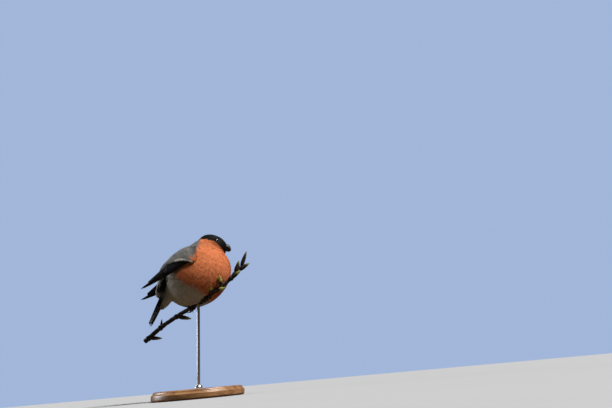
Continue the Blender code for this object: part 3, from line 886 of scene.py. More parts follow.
def wing_cover(side_name, material):
    """Scapulars and small coverts in soft rows over the wing's front and top, grey above, orange in front."""
    rng = np.random.default_rng(21 if side_name == "left" else 22)
    t, a = [], []
    for row in np.arange(-0.08, 0.42, 0.024):
        for up in np.arange(-0.40, 1.10, 0.075):
            t.append(row + 0.013 * rng.normal())
            a.append(up + 0.03 * rng.normal())
    t, a = np.array(t), np.array(a)
    kept = a > np.interp(t, *COVER_EDGE)
    t, a = t[kept], a[kept]
    count = len(t)
    u = np.linspace(0, 1, 5)
    length = 0.15 * (1 + 0.1 * rng.normal(size=count)) * (1 + 0.35 * ramp(a, 0.7, 1.1))
    bend = 0.03 * rng.normal(size=count)
    tt = t[:, None] + length[:, None] * u
    aa = a[:, None] + bend[:, None] * u - 0.05 * u
    spot, normal = wing_surface(tt, aa)
    base = (1.2 - 1.5 * ramp(a, 0.72, 1.1) - 1.2 * ramp(-t, 0.0, 0.08) - 1.4 * ramp(-a, 0.10, 0.35)) * MM
    none = np.zeros(count)
    mesh = feather_mesh(
        f"wing_{side_name}_cover",
        spot + normal * base[:, None, None],
        normal,
        np.full(count, COVER_HALF_WIDTH),
        COVER_DEPTH * (1 + 0.06 * rng.normal(size=count)),
        31,
        {"black": none, "grey": ramp(aa[:, 2] + 2.1 * tt[:, 2], 0.12, 0.36), "white": none},
        sink=0.1 * MM,
        side=SIDES[side_name],
    )
    add_piece(mesh, f"wing_{side_name}_cover", material)


def tail_feathers():
    """Twelve tail feathers, the middle pair uppermost. The outer ones are longer, so the tail has a notch."""
    down = np.array((-math.cos(TAIL_SLOPE), 0, -math.sin(TAIL_SLOPE)))
    back = np.array((-math.sin(TAIL_SLOPE), 0, math.cos(TAIL_SLOPE)))
    feathers, tones = [], []
    rng = np.random.default_rng(41)
    s = np.linspace(0, 1, 20)
    spread = (TAIL_ROOT_WIDTH * (1 - s) + TAIL_TIP_WIDTH * s) / 2 - 3.6 * MM
    outline = np.maximum(np.minimum(1, 0.45 + s) * np.clip(1 - s ** 6, 0, 1) ** 0.7, 0.02)
    for k in range(TAIL_PAIRS):
        share = k / (TAIL_PAIRS - 1)
        for side in (-1, 1):
            length = TAIL_LENGTH - TAIL_NOTCH * (1 - share) - 0.35 * TAIL_NOTCH * (share == 1)
            roof = TAIL_ROOF * (1 - 0.7 * s) * share ** 2 + (0.28 * k + 0.12 * (side > 0)) * MM
            line = np.array(TAIL_ROOT) + down * (length * s)[:, None] - back * (roof - 0.8 * MM)[:, None]
            line[:, 1] = side * (0.06 + 0.94 * share) * spread
            tilt = unit(back + np.array((0, 1, 0)) * side * 0.28 * share)
            wide = (8.4 - 1.2 * share) * MM
            narrow, broad = 0.36 * wide * outline, 0.64 * wide * outline
            halves = (broad, narrow) if side > 0 else (narrow, broad)
            feathers.append(vane_solids(line, np.broadcast_to(tilt, line.shape), *halves))
            tones.append((rng.random(), 0.0))
    return rings_to_mesh("tail_vanes", feathers, tones)


# Head

def bill_half(upper):
    """One half of the bill: swollen sides, a keel that ends in a small hook, and rolled cutting edges."""
    slope = BILL_DROOP + GAPE_SLOPE
    normal = Vector((math.sin(slope), 0, math.cos(slope)))
    side = 1 if upper else -1
    bm = bmesh.new()
    lying = Matrix.Rotation(math.radians(90), 4, "Y")
    bmesh.ops.create_uvsphere(bm, u_segments=56, v_segments=36, radius=1, matrix=lying)
    for vert in bm.verts:
        reach = (vert.co.x + 1) / 2
        girth = (1 - BILL_TAPER * reach ** 2) / 2
        keel = 0.16 * max(0.0, abs(vert.co.z) - 0.75) * (1 - abs(vert.co.y))
        hook = BILL_HOOK * max(0.0, 2 * reach - 1) ** 2
        vert.co = Vector((
            reach * BILL_LENGTH,
            vert.co.y * BILL_WIDTH * girth * (1 - keel),
            vert.co.z * BILL_DEPTH * girth * (1 + keel) - hook,
        ))
    bm.transform(Matrix.Translation(BILL_ROOT) @ Matrix.Rotation(BILL_DROOP, 4, "Y"))
    bmesh.ops.bisect_plane(
        bm,
        geom=bm.verts[:] + bm.edges[:] + bm.faces[:],
        plane_co=BILL_ROOT + normal * (side * 0.12 * MM - GAPE_DROP),
        plane_no=normal * side,
        clear_inner=True,
    )
    rim = [e for e in bm.edges if e.is_boundary]
    filled = bmesh.ops.holes_fill(bm, edges=rim)["faces"]
    bmesh.ops.inset_region(bm, faces=filled, thickness=0.35 * MM, depth=-0.25 * MM)
    if not upper:
        shorter = Matrix.Diagonal((LOWER_BILL_SHARE, 0.95, 1, 1))
        bm.transform(Matrix.Translation(BILL_ROOT) @ shorter @ Matrix.Translation(-BILL_ROOT))
    bm.transform(BIRD_POSE)
    return mesh_of(bm, "bill")


def eye_ball(side):
    """The whole eye, with its clear front a little fuller than the rest."""
    bm = bmesh.new()
    bmesh.ops.create_uvsphere(bm, u_segments=40, v_segments=28, radius=EYE_RADIUS)
    for vert in bm.verts:
        front = max(0.0, vert.co.z / EYE_RADIUS - 0.55)
        vert.co.z += 0.5 * front ** 1.5 * MM
    bm.transform(eye_pose(side))
    bm.transform(BIRD_POSE)
    return mesh_of(bm, "eye")


def lid_ring(side):
    """The bare rim of both lids round one eye, in small beads, drawn out a little to front and back."""
    bm = bmesh.new()
    profile = bmesh.ops.create_circle(bm, segments=10, radius=LID_THICKNESS / 2)
    turned = Matrix.Translation((LID_RADIUS, 0, 0)) @ Matrix.Rotation(math.radians(90), 4, "X")
    bmesh.ops.transform(bm, matrix=turned, verts=profile["verts"])
    spin_round(bm, 72)
    for vert in bm.verts:
        angle = math.atan2(vert.co.y, vert.co.x)
        bead = 1 + 0.022 * math.cos(24 * angle)
        vert.co.x *= 1.10 * bead
        vert.co.y *= 0.96 * bead
        vert.co.z += 0.12 * MM * math.cos(2 * angle) + EYE_RADIUS * 0.60
    bm.transform(eye_pose(side))
    return mesh_of(bm, "lid")


def bill_bristles(material):
    """Short stiff feathers that lie forward over the base of the upper bill and hide the nostrils."""
    rng = np.random.default_rng(51)
    count = BRISTLES
    angle = rng.uniform(-1.9, 1.9, count)
    start = np.stack([
        -rng.uniform(1.0, 3.4, count),
        np.sin(angle) * 4.15,
        np.cos(angle) * 4.4 + 0.2,
    ], 1) * MM
    start[:, 0] += 2.2 * MM
    turn = np.array(Matrix.Rotation(BILL_DROOP, 3, "Y"))
    out = np.stack([np.full(count, 0.12), np.sin(angle), np.cos(angle)], 1) @ turn.T
    root = start @ turn.T + np.array(BILL_ROOT)
    way = np.array((1, 0, 0)) @ turn.T + 0.10 * out + 0.14 * rng.normal(size=(count, 3))
    length = rng.uniform(1.6, 2.6, count) * MM
    u = np.linspace(0, 1, 5)
    lines = root[:, None] + unit(way)[:, None] * (length[:, None] * u)[..., None]
    normals = np.repeat(unit(out)[:, None], 5, axis=1)
    masks = {"black": np.ones(count), "grey": np.zeros(count), "white": np.zeros(count)}
    widths = np.full(count, 0.5 * MM)
    depths = np.full(count, 0.35 * MM)
    mesh = feather_mesh("bill_bristles", lines, normals, widths, depths, 52, masks, strands=8, sink=0.05 * MM)
    add_piece(mesh, "bill_bristles", material)


# Feet

def toe_line(side_name, shift, wrap):
    """One toe's middle line, from the grip's top round the twig, with its way and the way out at its end."""
    place, way, up, across = grip_frame(side_name)
    points = []
    for share in (i / 30 for i in range(31)):
        angle = wrap * (TOE_START + (1 - TOE_START) * share)
        rim = up * math.cos(angle) + across * math.sin(angle)
        slide = shift * (0.15 + 0.85 * share ** 0.6)
        points.append(place + rim * grip_reach(side_name) + way * slide)
    return points, (points[-1] - points[-2]).normalized(), rim


def toe(side_name, shift, wrap):
    """One toe with three pads and overlapping scales."""
    points = toe_line(side_name, shift, wrap)[0]
    radii = []
    for i in range(len(points)):
        share = i / (len(points) - 1)
        pads = 0.09 * math.cos(math.tau * 3 * share) - 0.04
        scales = 0.035 * ((share * 15) % 1)
        radii.append(TOE_RADIUS * (1.22 - 0.24 * share) * (0.97 + pads * 0.8 + scales))
    return tube(points, radii, 5)


def claw(side_name, shift, wrap):
    """One curved claw that tapers to a blunt point."""
    points, ahead, out = toe_line(side_name, shift, wrap)
    line, radii = [], []
    for share in (i / 14 for i in range(15)):
        bend = -out * (1.5 * MM * share ** 2) - UP * (0.7 * MM * share ** 2)
        line.append(points[-1] + ahead * (CLAW_LENGTH * (share - 0.12)) + bend)
        radii.append(TOE_RADIUS * (0.66 * (1 - share) ** 0.7 + 0.10))
    return tube(line, radii, 4)


def foot_meshes(side_name):
    """The scaly shank and four toes of one foot, and its claws."""
    toes = [(shift, TOE_WRAP) for shift in (-TOE_SPREAD, 0.0, TOE_SPREAD)]
    toes.append((TOE_SPREAD / 8, -TOE_WRAP * BACK_TOE_SHARE))
    sole, heel = shank_ends(side_name)
    shank, radii = [], []
    for share in (i / 30 for i in range(31)):
        shank.append(sole.lerp(heel, share * 0.9 - 0.08))
        waist = 0.80 + 0.55 * abs(share - 0.45) ** 1.5
        radii.append(TARSUS_RADIUS * (waist + 0.05 * ((share * 9) % 1)))
    ball = bmesh.new()
    up = grip_frame(side_name)[2]
    egg(ball, sole - up * BALL_HALF.z * 0.8, BALL_HALF, segments=24, rings=16)
    fleshy = [tube(shank, radii, 6), mesh_of(ball, "ball"), *(toe(side_name, *way) for way in toes)]
    return joined(fleshy), joined([claw(side_name, *way) for way in toes])


# Twig and buds

def twig_bark():
    """The twig, swollen under its buds and thicker where the end buds crowd, with a rough lumpy bark."""
    stops = np.linspace(0, 1, 260)
    line = [BIRD_CENTRE + Vector(curve_at(TWIG_ROUTE, t)) for t in stops]
    radii = []
    for t in stops:
        swell = sum(0.34 * math.exp(-((t - bud[0] + 0.004) / 0.008) ** 2) for bud in BUDS[1:])
        rings = 0.03 * math.sin(230 * t) + 0.03 * math.sin(97 * t + 1)
        cluster = 0.28 * ramp(t, 0.86, 0.91)
        radii.append(twig_radius(t) * (0.97 + min(0.45, swell) + rings + cluster))
    mesh = tube(line, radii, 10)
    for vert in mesh.vertices:
        rough = noise.fractal(vert.co * 900, 0.8, 2.0, 4) * 0.12 * MM
        lumps = noise.noise(vert.co * 260) * 0.16 * MM
        vert.co += vert.normal * (rough + lumps)
    mesh.update()
    return mesh


def bud_taper(height):
    """How a bud narrows from its root to its tip."""
    return 1.25 - 0.8 * height


def bud_girth(height):
    """How wide a bud is at a share of its height, for a half width of 1. It is fullest low down."""
    return bud_taper(height) * math.sqrt(max(0.0, 1 - (2 * height - 1) ** 2))


def bud_scale(length, half_width, low, high, spread):
    """One cupped scale on a bud that stands along +Z, from a low share of its length to the pointed tip."""
    bm = bmesh.new()
    bmesh.ops.create_grid(bm, x_segments=6, y_segments=8, size=1)
    for vert in bm.verts:
        v = (vert.co.y + 1) / 2
        angle = vert.co.x * math.radians(68) * (1 - 0.96 * v ** 2.4)
        height = low + (high - low) * v
        flare = spread * v ** 1.8
        narrowing = 1 - 0.8 * max(0.0, height - 0.9) / 0.1
        girth = half_width * (bud_girth(min(height, 0.9)) * narrowing + 0.05 + flare)
        tall = (height - 0.25 * flare) * length
        vert.co = Vector((math.sin(angle) * girth, -math.cos(angle) * girth, tall))
    return bm


def bud_core(length, half_width):
    """The bud inside its scales."""
    bm = bmesh.new()
    bmesh.ops.create_uvsphere(bm, u_segments=20, v_segments=16, radius=1)
    for vert in bm.verts:
        height = (vert.co.z + 1) / 2
        girth = half_width * bud_taper(height) * 0.97
        vert.co = Vector((vert.co.x * girth, vert.co.y * girth, height * length))
    return bm


BUD_SCALES = 10
SCALE_THICKNESS = 0.14 * MM


def bud_meshes():
    """Every bud: a core, and scales in a spiral that close over it or fold out where the bud has opened."""
    parts = []
    masks = {"reach": [], "green": []}
    for t, way, length, half_width, opened, greenness in BUDS:
        length *= MM
        half_width *= MM
        place = BIRD_CENTRE + Vector(curve_at(TWIG_ROUTE, t))
        turn = UP.rotation_difference(Vector(way).normalized()).to_matrix().to_4x4()
        shapes = [(bud_core(length, half_width), 0.7)]
        for k in range(BUD_SCALES):
            share = k / (BUD_SCALES - 1)
            low, high = 0.08 + 0.42 * share, 0.50 + 0.50 * share
            scale = bud_scale(length, half_width, low, high, opened * (0.25 + 0.75 * share))
            scale.transform(Matrix.Rotation(k * 2.4, 4, "Z"))
            shapes.append((scale, 0.55 + 0.45 * share))
        for bm, share in shapes:
            masks["reach"] += [vert.co.z / length for vert in bm.verts]
            masks["green"] += [greenness * share] * len(bm.verts)
            bm.transform(Matrix.Translation(place) @ turn)
            parts.append(mesh_of(bm, "scale"))
    mesh = joined(parts)
    add_masks(mesh, masks)
    return thickened(mesh, SCALE_THICKNESS, rounds=1)


# Stand

def lathe(profile, steps=128):
    """A turned piece: a line of places from the axis out and back to it, swept round the upright axis."""
    bm = bmesh.new()
    verts = [bm.verts.new((radius * MM, 0, height * MM)) for radius, height in profile]
    for low, high in zip(verts, verts[1:]):
        bm.edges.new((low, high))
    spin_round(bm, steps)
    bmesh.ops.remove_doubles(bm, verts=bm.verts, dist=0.01 * MM)
    return mesh_of(bm, "turned")


def rounded(points, radius):
    """A turned outline in millimetres with each inner corner rounded."""
    out = [points[0]]
    for before, corner, after in zip(points, points[1:], points[2:]):
        a, c, b = Vector(before), Vector(corner), Vector(after)
        cut = min(radius, (a - c).length * 0.45, (b - c).length * 0.45)
        start, end = c + (a - c).normalized() * cut, c + (b - c).normalized() * cut
        for u in (i / 5 for i in range(6)):
            out.append(tuple(start * (1 - u) ** 2 + c * 2 * u * (1 - u) + end * u ** 2))
    return out + [points[-1]]


def stand(wood, steel):
    """The turned base, the collar on it and the rod up to the twig. Their outlines are in millimetres."""
    edge, top = BASE_RADIUS / MM, BASE_HEIGHT / MM
    disc = [
        (0, 0), (edge - 1, 0), (edge, 1.2), (edge, top - 3.4),
        (edge - 1.6, top - 2.6), (edge - 2.2, top - 0.5), (edge - 4.5, top), (0, top),
    ]
    add_piece(lathe(rounded(disc, 0.9)), "base_disc", wood, ["stand_base"])
    foot = (BASE_HEIGHT + GAP) / MM
    bore, edge, top = COLLAR_BORE / MM, COLLAR_RADIUS / MM, foot + COLLAR_HEIGHT / MM
    ring = [
        (bore, foot), (edge, foot), (edge, foot + 1.1),
        (edge - 0.9, top - 0.6), (edge - 1.1, top), (bore, top), (bore, foot),
    ]
    add_piece(lathe(rounded(ring, 0.35), 96), "collar_ring", steel, ["stand_collar"])
    route = curve_at(TWIG_ROUTE, np.linspace(0, 1, 400)) + np.array(BIRD_CENTRE)
    edge, top = ROD_RADIUS / MM, next(spot for spot in route if spot[0] >= 0)[2] / MM - ROD_SHORTFALL / MM
    rod = [(0, foot), (edge, foot), (edge, top), (0, top)]
    add_piece(lathe(rounded(rod, 0.3), 64), "rod_bar", steel, ["stand_rod"])


# Materials

class Wiring:
    """The nodes of one material or shader group, with short ways to add and join them."""

    def __init__(self, tree):
        self.nodes = tree.nodes
        self.links = tree.links

    def feed(self, value, socket):
        """Sets a socket to a number or a colour, or links another node's output to it."""
        if isinstance(value, (int, float)):
            socket.default_value = value
        elif isinstance(value, tuple):
            socket.default_value = (*value, 1)
        else:
            self.links.new(value, socket)

    def add(self, kind, **numbers):
        node = self.nodes.new(kind)
        for key, number in numbers.items():
            node.inputs[key.replace("_", " ")].default_value = number
        return node

    def object_places(self):
        """Each point's own place on the piece."""
        return self.nodes.new("ShaderNodeTexCoord").outputs["Object"]

    def stretched(self, *scales):
        node = self.add("ShaderNodeMapping", Scale=scales)
        self.links.new(self.object_places(), node.inputs["Vector"])
        return node.outputs["Vector"]

    def mask(self, name):
        """A value that the mesh carries."""
        node = self.nodes.new("ShaderNodeAttribute")
        node.attribute_name = name
        return node.outputs["Fac"]

    def maths(self, operation, *values):
        node = self.nodes.new("ShaderNodeMath")
        node.operation = operation
        for socket, value in zip(node.inputs, values):
            self.feed(value, socket)
        return node.outputs[0]

    def mix(self, factor, first, second, blend="MIX"):
        node = self.nodes.new("ShaderNodeMix")
        node.data_type = "RGBA"
        node.blend_type = blend
        for index, value in ((0, factor), (6, first), (7, second)):
            self.feed(value, node.inputs[index])
        return node.outputs[2]

    def noise(self, scale, detail=4.0, roughness=0.6, vector=None):
        node = self.add("ShaderNodeTexNoise", Scale=scale, Detail=detail, Roughness=roughness)
        self.links.new(self.object_places() if vector is None else vector, node.inputs["Vector"])
        return node.outputs["Fac"]

    def camera_sees(self):
        """1 where the camera itself looks, and 0 where light only bounces."""
        return self.nodes.new("ShaderNodeLightPath").outputs["Is Camera Ray"]

    def cells(self, scale):
        """How far each point is from the middle of its cell."""
        node = self.add("ShaderNodeTexVoronoi", Scale=scale)
        self.links.new(self.object_places(), node.inputs["Vector"])
        return node.outputs["Distance"]

    def spread(self, value, low, high, to_low=0.0, to_high=1.0):
        """Turns values from low to high into values between two others, with a smooth rise."""
        node = self.add("ShaderNodeMapRange", From_Min=low, From_Max=high, To_Min=to_low, To_Max=to_high)
        node.interpolation_type = "SMOOTHSTEP"
        self.links.new(value, node.inputs["Value"])
        return node.outputs["Result"]


class Finish(Wiring):
    """A material with its shader."""

    def __init__(self, name, roughness, metallic=0.0, specular=0.5, sheen=0.0, coat=0.0, coat_roughness=0.05):
        self.material = bpy.data.materials.new(name)
        self.material.use_nodes = True
        super().__init__(self.material.node_tree)
        self.shader = self.nodes["Principled BSDF"]
        values = {
            "Roughness": roughness,
            "Metallic": metallic,
            "Specular IOR Level": specular,
            "Sheen Weight": sheen,
            "Sheen Roughness": 0.45,
            "Coat Weight": coat,
            "Coat Roughness": coat_roughness,
        }
        for key, value in values.items():
            self.shader.inputs[key].default_value = value

    def colour(self, value):
        self.links.new(value, self.shader.inputs["Base Color"])

    def roughness(self, value, low, high, to_low, to_high):
        self.links.new(self.spread(value, low, high, to_low, to_high), self.shader.inputs["Roughness"])

    def bump(self, height, strength, distance):
        node = self.add("ShaderNodeBump", Strength=strength, Distance=distance)
        self.links.new(height, node.inputs["Height"])
        self.links.new(node.outputs["Normal"], self.shader.inputs["Normal"])


def plumage_group():
    """The bird's colours from its markings, with each feather and barb a little different from the next."""
    group = bpy.data.node_groups.new("plumage_colours", "ShaderNodeTree")
    for key in ("Black", "Grey", "White", "Reach", "Chance"):
        group.interface.new_socket(key, in_out="INPUT", socket_type="NodeSocketFloat")
    group.interface.new_socket("Color", in_out="OUTPUT", socket_type="NodeSocketColor")
    group.interface.new_socket("Roughness", in_out="OUTPUT", socket_type="NodeSocketFloat")
    wiring = Wiring(group)
    given = wiring.nodes.new("NodeGroupInput").outputs
    result = wiring.nodes.new("NodeGroupOutput").inputs
    reach, chance = given["Reach"], given["Chance"]
    orange = wiring.mix(chance, (0.58, 0.160, 0.055), (0.74, 0.235, 0.095))
    orange = wiring.mix(wiring.spread(reach, 0.15, 0.6), (0.46, 0.115, 0.038), orange)
    slate = wiring.mix(chance, (0.130, 0.130, 0.127), (0.215, 0.215, 0.212))
    slate = wiring.mix(wiring.spread(reach, 0.25, 0.75), (0.10, 0.095, 0.095), slate)
    snow = wiring.mix(chance, (0.40, 0.380, 0.320), (0.58, 0.560, 0.49))
    soot = wiring.mix(chance, (0.003, 0.003, 0.004), (0.007, 0.007, 0.009))
    colour = orange
    for key, shade in (("Grey", slate), ("White", snow), ("Black", soot)):
        colour = wiring.mix(given[key], colour, shade)
    wiring.links.new(colour, result["Color"])
    wiring.links.new(wiring.spread(given["Black"], 0, 1, 0.75, 0.60), result["Roughness"])
    return group


def plumage(name, group, on_skin=False):
    """The coat's material, or the skin's: the same markings, darker because it lies in the coat's shade."""
    finish = Finish(name, 0.7, specular=0.12, sheen=0.03)
    colours = finish.nodes.new("ShaderNodeGroup")
    colours.node_tree = group
    for key in ("Black", "Grey", "White"):
        finish.feed(finish.mask(key.lower()), colours.inputs[key])
    if on_skin:
        finish.feed(0.55, colours.inputs["Reach"])
        finish.feed(finish.noise(400), colours.inputs["Chance"])
        finish.colour(finish.mix(1.0, colours.outputs["Color"], (0.75, 0.75, 0.75), "MULTIPLY"))
        finish.bump(finish.noise(1500), 0.5, 0.2 * MM)
    else:
        finish.feed(finish.mask("reach"), colours.inputs["Reach"])
        mixed = finish.maths("MULTIPLY", finish.mask("barb"), 0.5)
        mixed = finish.maths("MULTIPLY_ADD", finish.mask("chance"), 0.5, mixed)
        finish.feed(mixed, colours.inputs["Chance"])
        finish.colour(colours.outputs["Color"])
        finish.bump(finish.noise(5000, 2.0), 0.25, 0.05 * MM)
    finish.links.new(colours.outputs["Roughness"], finish.shader.inputs["Roughness"])
    return finish.material


def glossy_black_vanes():
    """Wing and tail feathers: black with a blue gloss, fine barbs, worn paler edges and pale covert ends."""
    finish = Finish("flight_feathers", 0.45, specular=0.22)
    off_shaft = finish.maths("ABSOLUTE", finish.mask("over"))
    along = finish.mask("along")
    edge = finish.maths("MULTIPLY", finish.spread(off_shaft, 0.80, 1.0), 0.5)
    gloss = finish.mix(finish.mask("chance"), (0.003, 0.003, 0.005), (0.006, 0.006, 0.010))
    worn = finish.mix(edge, gloss, (0.022, 0.021, 0.023))
    ragged = finish.maths("MULTIPLY_ADD", finish.noise(900), 0.16, along)
    tip = finish.maths("MULTIPLY", finish.spread(ragged, 0.66, 0.76), finish.mask("pale"))
    finish.colour(finish.mix(tip, worn, (0.56, 0.55, 0.52)))
    slant = finish.maths("MULTIPLY_ADD", off_shaft, -9.0, finish.maths("MULTIPLY", along, 120))
    barbs = finish.maths("SINE", finish.maths("MULTIPLY", slant, math.tau / 2))
    finish.roughness(barbs, -1, 1, 0.36, 0.55)
    finish.bump(barbs, 0.35, 0.04 * MM)
    return finish.material


def horn_material():
    """The black bill: a satin horn with faint growth lines along it and paler blotches."""
    finish = Finish("bill_horn", 0.45, specular=0.35)
    lines = finish.noise(1.0, 3.0, 0.6, finish.stretched(350, 2200, 1400))
    blotch = finish.spread(finish.noise(500), 0.4, 0.7)
    finish.colour(finish.mix(blotch, (0.010, 0.009, 0.009), (0.035, 0.03, 0.027)))
    finish.roughness(lines, 0.3, 0.7, 0.38, 0.55)
    finish.bump(lines, 0.25, 0.05 * MM)
    return finish.material


def eye_material(side_name):
    """A dark brown mottled iris round a black pupil, under a clear wet surface."""
    finish = Finish(f"eye_{side_name}", 0.12, specular=0.6, coat=1.0, coat_roughness=0.02)
    centre, look = eye_place(SIDES[side_name])
    away = finish.nodes.new("ShaderNodeVectorMath")
    away.operation = "SUBTRACT"
    away.inputs[1].default_value = BIRD_POSE @ centre
    finish.links.new(finish.object_places(), away.inputs[0])
    facing = finish.nodes.new("ShaderNodeVectorMath")
    facing.operation = "DOT_PRODUCT"
    facing.inputs[1].default_value = BIRD_POSE.to_3x3() @ look / EYE_RADIUS
    finish.links.new(away.outputs[0], facing.inputs[0])
    pupil = finish.spread(facing.outputs["Value"], 0.90, 0.93)
    iris = finish.mix(finish.noise(1800, 3.0), (0.010, 0.005, 0.003), (0.040, 0.017, 0.009))
    finish.colour(finish.mix(pupil, iris, (0.002, 0.002, 0.002)))
    return finish.material


def scaly_foot():
    """Dull brown foot skin with fine scales, darker in the creases."""
    finish = Finish("foot_scales", 0.5, specular=0.4)
    crease = finish.spread(finish.cells(1700), 0.15, 0.55)
    blotch = finish.noise(350)
    skin = finish.mix(blotch, (0.018, 0.011, 0.010), (0.045, 0.028, 0.023))
    finish.colour(finish.mix(crease, skin, (0.010, 0.007, 0.006)))
    finish.roughness(blotch, 0.3, 0.7, 0.42, 0.62)
    finish.bump(finish.maths("SUBTRACT", 1.0, crease), 0.5, 0.08 * MM)
    return finish.material


def claw_material():
    finish = Finish("claw_horn", 0.3, specular=0.5)
    blotch = finish.noise(700)
    finish.colour(finish.mix(blotch, (0.012, 0.010, 0.010), (0.06, 0.045, 0.038)))
    finish.roughness(blotch, 0.3, 0.7, 0.25, 0.4)
    finish.bump(finish.noise(3000), 0.15, 0.03 * MM)
    return finish.material


def bark_material():
    """Dark brown bark with grey film, pale lenticels and fine cracks."""
    finish = Finish("twig_bark", 0.8, specular=0.3)
    cracks = finish.noise(1300, 6.0, 0.7)
    film = finish.noise(160, 4.0, 0.6)
    bark = finish.mix(finish.spread(cracks, 0.35, 0.7), (0.007, 0.005, 0.005), (0.038, 0.027, 0.022))
    bark = finish.mix(finish.spread(film, 0.52, 0.72, 0, 0.5), bark, (0.10, 0.092, 0.082))
    lenticel = finish.spread(finish.cells(420), 0.24, 0.12)
    finish.colour(finish.mix(finish.maths("MULTIPLY", lenticel, 0.6), bark, (0.17, 0.13, 0.10)))
    finish.roughness(film, 0.3, 0.7, 0.62, 0.9)
    finish.bump(finish.maths("MULTIPLY_ADD", lenticel, 0.6, cracks), 0.7, 0.18 * MM)
    return finish.material


def bud_material():
    """Bud scales: dark brown at the root, and yellow-green at the tip where the bud has begun to open."""
    finish = Finish("bud_scales", 0.5, specular=0.4)
    blotch = finish.noise(900, 4.0)
    brown = finish.mix(blotch, (0.009, 0.005, 0.004), (0.045, 0.022, 0.013))
    leaf = finish.mix(blotch, (0.20, 0.24, 0.025), (0.58, 0.56, 0.14))
    shift = finish.maths("MULTIPLY_ADD", blotch, 0.35, finish.mask("reach"))
    shift = finish.maths("MULTIPLY_ADD", finish.mask("green"), 0.85, shift)
    finish.colour(finish.mix(finish.spread(shift, 1.05, 1.50), brown, leaf))
    finish.roughness(blotch, 0.3, 0.7, 0.4, 0.62)
    finish.bump(blotch, 0.3, 0.08 * MM)
    return finish.material


def wood_material():
    """A turned hardwood disc under satin lacquer, with rings and pores."""
    finish = Finish("base_wood", 0.36, specular=0.45, coat=0.25, coat_roughness=0.22)
    fibres = finish.stretched(14, 150, 150)
    grain = finish.noise(1.6, 6.0, 0.65, fibres)
    pores = finish.noise(9.0, 3.0, 0.7, fibres)
    wood = finish.mix(finish.spread(grain, 0.3, 0.7), (0.17, 0.075, 0.030), (0.40, 0.21, 0.095))
    finish.colour(finish.mix(finish.spread(pores, 0.56, 0.66, 0, 0.6), wood, (0.07, 0.03, 0.014)))
    finish.roughness(grain, 0.3, 0.7, 0.30, 0.44)
    finish.bump(pores, 0.12, 0.1 * MM)
    return finish.material


def steel_material():
    """Brushed steel, with fine marks round the rod."""
    finish = Finish("rod_steel", 0.3, metallic=1.0)
    marks = finish.noise(1.0, 3.0, 0.6, finish.stretched(120, 120, 9000))
    finish.colour(finish.mix(marks, (0.42, 0.42, 0.43), (0.62, 0.62, 0.63)))
    finish.roughness(marks, 0.3, 0.7, 0.22, 0.40)
    finish.bump(marks, 0.1, 0.02 * MM)
    return finish.material


# The bird

def finished_skin(skin):
    """The skin with the rims of its lids and the coat's markings, on the perch."""
    bm = bmesh.new()
    bm.from_mesh(skin)
    for side in SIDES.values():
        bm.from_mesh(lid_ring(side))
    skin = mesh_of(bm, "skin")
    add_masks(skin, markings(mesh_arrays(skin)[0]))
    skin.transform(BIRD_POSE)
    return skin


def make_bird():
    group = plumage_group()
    coat = plumage("plumage", group)
    under = plumage("skin_under_plumage", group, on_skin=True)
    black_vanes = glossy_black_vanes()
    horn = horn_material()

    skin = body_skin()
    coat_of_body(skin, coat)
    flesh = ["head", "neck", "trunk", "leg_left", "leg_right"]
    add_piece(finished_skin(skin), "skin", under, flesh)
    for name, side in SIDES.items():
        add_piece(flight_feathers(name), f"wing_{name}_vanes", black_vanes, [f"wing_{name}"])
        add_piece(wing_pad(name), f"wing_{name}_pad", black_vanes)
        wing_cover(name, coat)
        add_piece(eye_ball(side), f"eye_{name}_ball", eye_material(name), [f"eye_{name}"])
        foot, claws = foot_meshes(name)
        add_piece(foot, f"foot_{name}_scaled", scaly_foot(), [f"foot_{name}"])
        add_piece(claws, f"claws_{name}", claw_material())
    add_piece(tail_feathers(), "tail_vanes", black_vanes, ["tail"])
    for half in ("upper", "lower"):
        name = f"bill_{half}_horn"
        add_piece(bill_half(half == "upper"), name, horn, [f"bill_{half}"])
    bill_bristles(coat)


def make_perch_and_stand():
    add_piece(twig_bark(), "twig_bark", bark_material(), ["perch"])
    add_piece(bud_meshes(), "twig_buds", bud_material())
    stand(wood_material(), steel_material())


# Studio

CAMERA_RISE = math.radians(13)
CAMERA_DISTANCE = 0.542
VIEW_TURN = math.radians(14.33)
VIEW_LIFT = math.radians(20.60)
VIEW_ROLL = math.radians(-5.13)
LENS = 27.41
FLOOR_RADIUS = 6
FLOOR_DROP = 0.0002


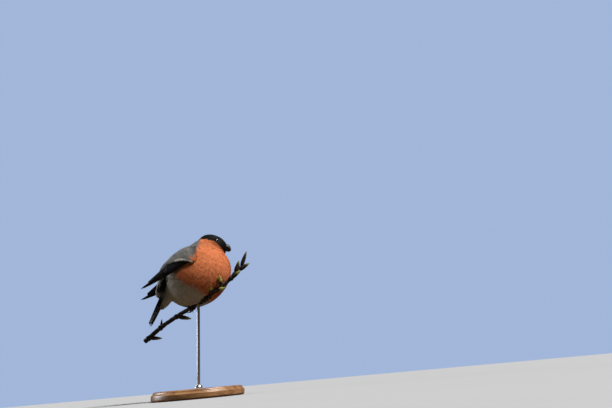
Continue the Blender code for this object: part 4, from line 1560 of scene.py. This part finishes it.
def camera():
    """A camera low in front of the bird's right side, looking up at it, with the bird left of the middle."""
    data = bpy.data.cameras.new("camera")
    data.lens = LENS
    data.sensor_width = 36
    data.clip_start = 0.01
    data.clip_end = 50
    away = Vector((0, math.cos(CAMERA_RISE), math.sin(CAMERA_RISE)))
    look = Vector((
        math.sin(VIEW_TURN) * math.cos(VIEW_LIFT),
        math.cos(VIEW_TURN) * math.cos(VIEW_LIFT),
        math.sin(VIEW_LIFT),
    ))
    level = Vector((math.cos(VIEW_TURN), -math.sin(VIEW_TURN), 0))
    right = level * math.cos(VIEW_ROLL) + level.cross(look) * math.sin(VIEW_ROLL)
    turn = Matrix((right, right.cross(look), -look)).transposed()
    obj = linked_object("camera", data)
    obj.matrix_world = Matrix.Translation(BIRD_CENTRE - away * CAMERA_DISTANCE) @ turn.to_4x4()
    bpy.context.scene.camera = obj


def soft_light(name, direction, strength, spread, colour):
    """A far broad light that shines from a direction. The more degrees its spread, the softer its shadows."""
    data = bpy.data.lights.new(name, "SUN")
    data.energy = strength
    data.angle = math.radians(spread)
    data.color = colour
    linked_object(name, data).rotation_euler = Vector(direction).to_track_quat("Z", "Y").to_euler()


def studio():
    """A pale floor that throws little light back, a plain surround, a broad key light and a weak rear one."""
    bm = bmesh.new()
    bmesh.ops.create_circle(bm, cap_ends=True, segments=96, radius=FLOOR_RADIUS)
    floor = linked_object("floor", mesh_of(bm, "floor", smooth=False))
    floor.location.z = -FLOOR_DROP
    finish = Finish("pale_floor", 0.75, specular=0.2)
    pale = finish.mix(finish.noise(3), (0.34, 0.35, 0.37), (0.37, 0.38, 0.40))
    finish.colour(finish.mix(finish.camera_sees(), (0.055, 0.044, 0.031), pale))
    floor.data.materials.append(finish.material)

    world = bpy.data.worlds.new("surround")
    bpy.context.scene.world = world
    world.use_nodes = True
    wiring = Wiring(world.node_tree)
    sky = wiring.mix(wiring.camera_sees(), (0.055, 0.050, 0.042), (0.36, 0.47, 0.70))
    wiring.links.new(sky, wiring.nodes["Background"].inputs["Color"])
    soft_light("key", (0.45, -0.27, 0.85), 5.8, 24, (1.0, 0.97, 0.92))
    soft_light("rear_fill", (-0.85, 0.38, 0.25), 2.3, 35, (0.95, 0.97, 1.0))
    bpy.context.scene.view_settings.view_transform = "Standard"


camera()
studio()
make_bird()
make_perch_and_stand()
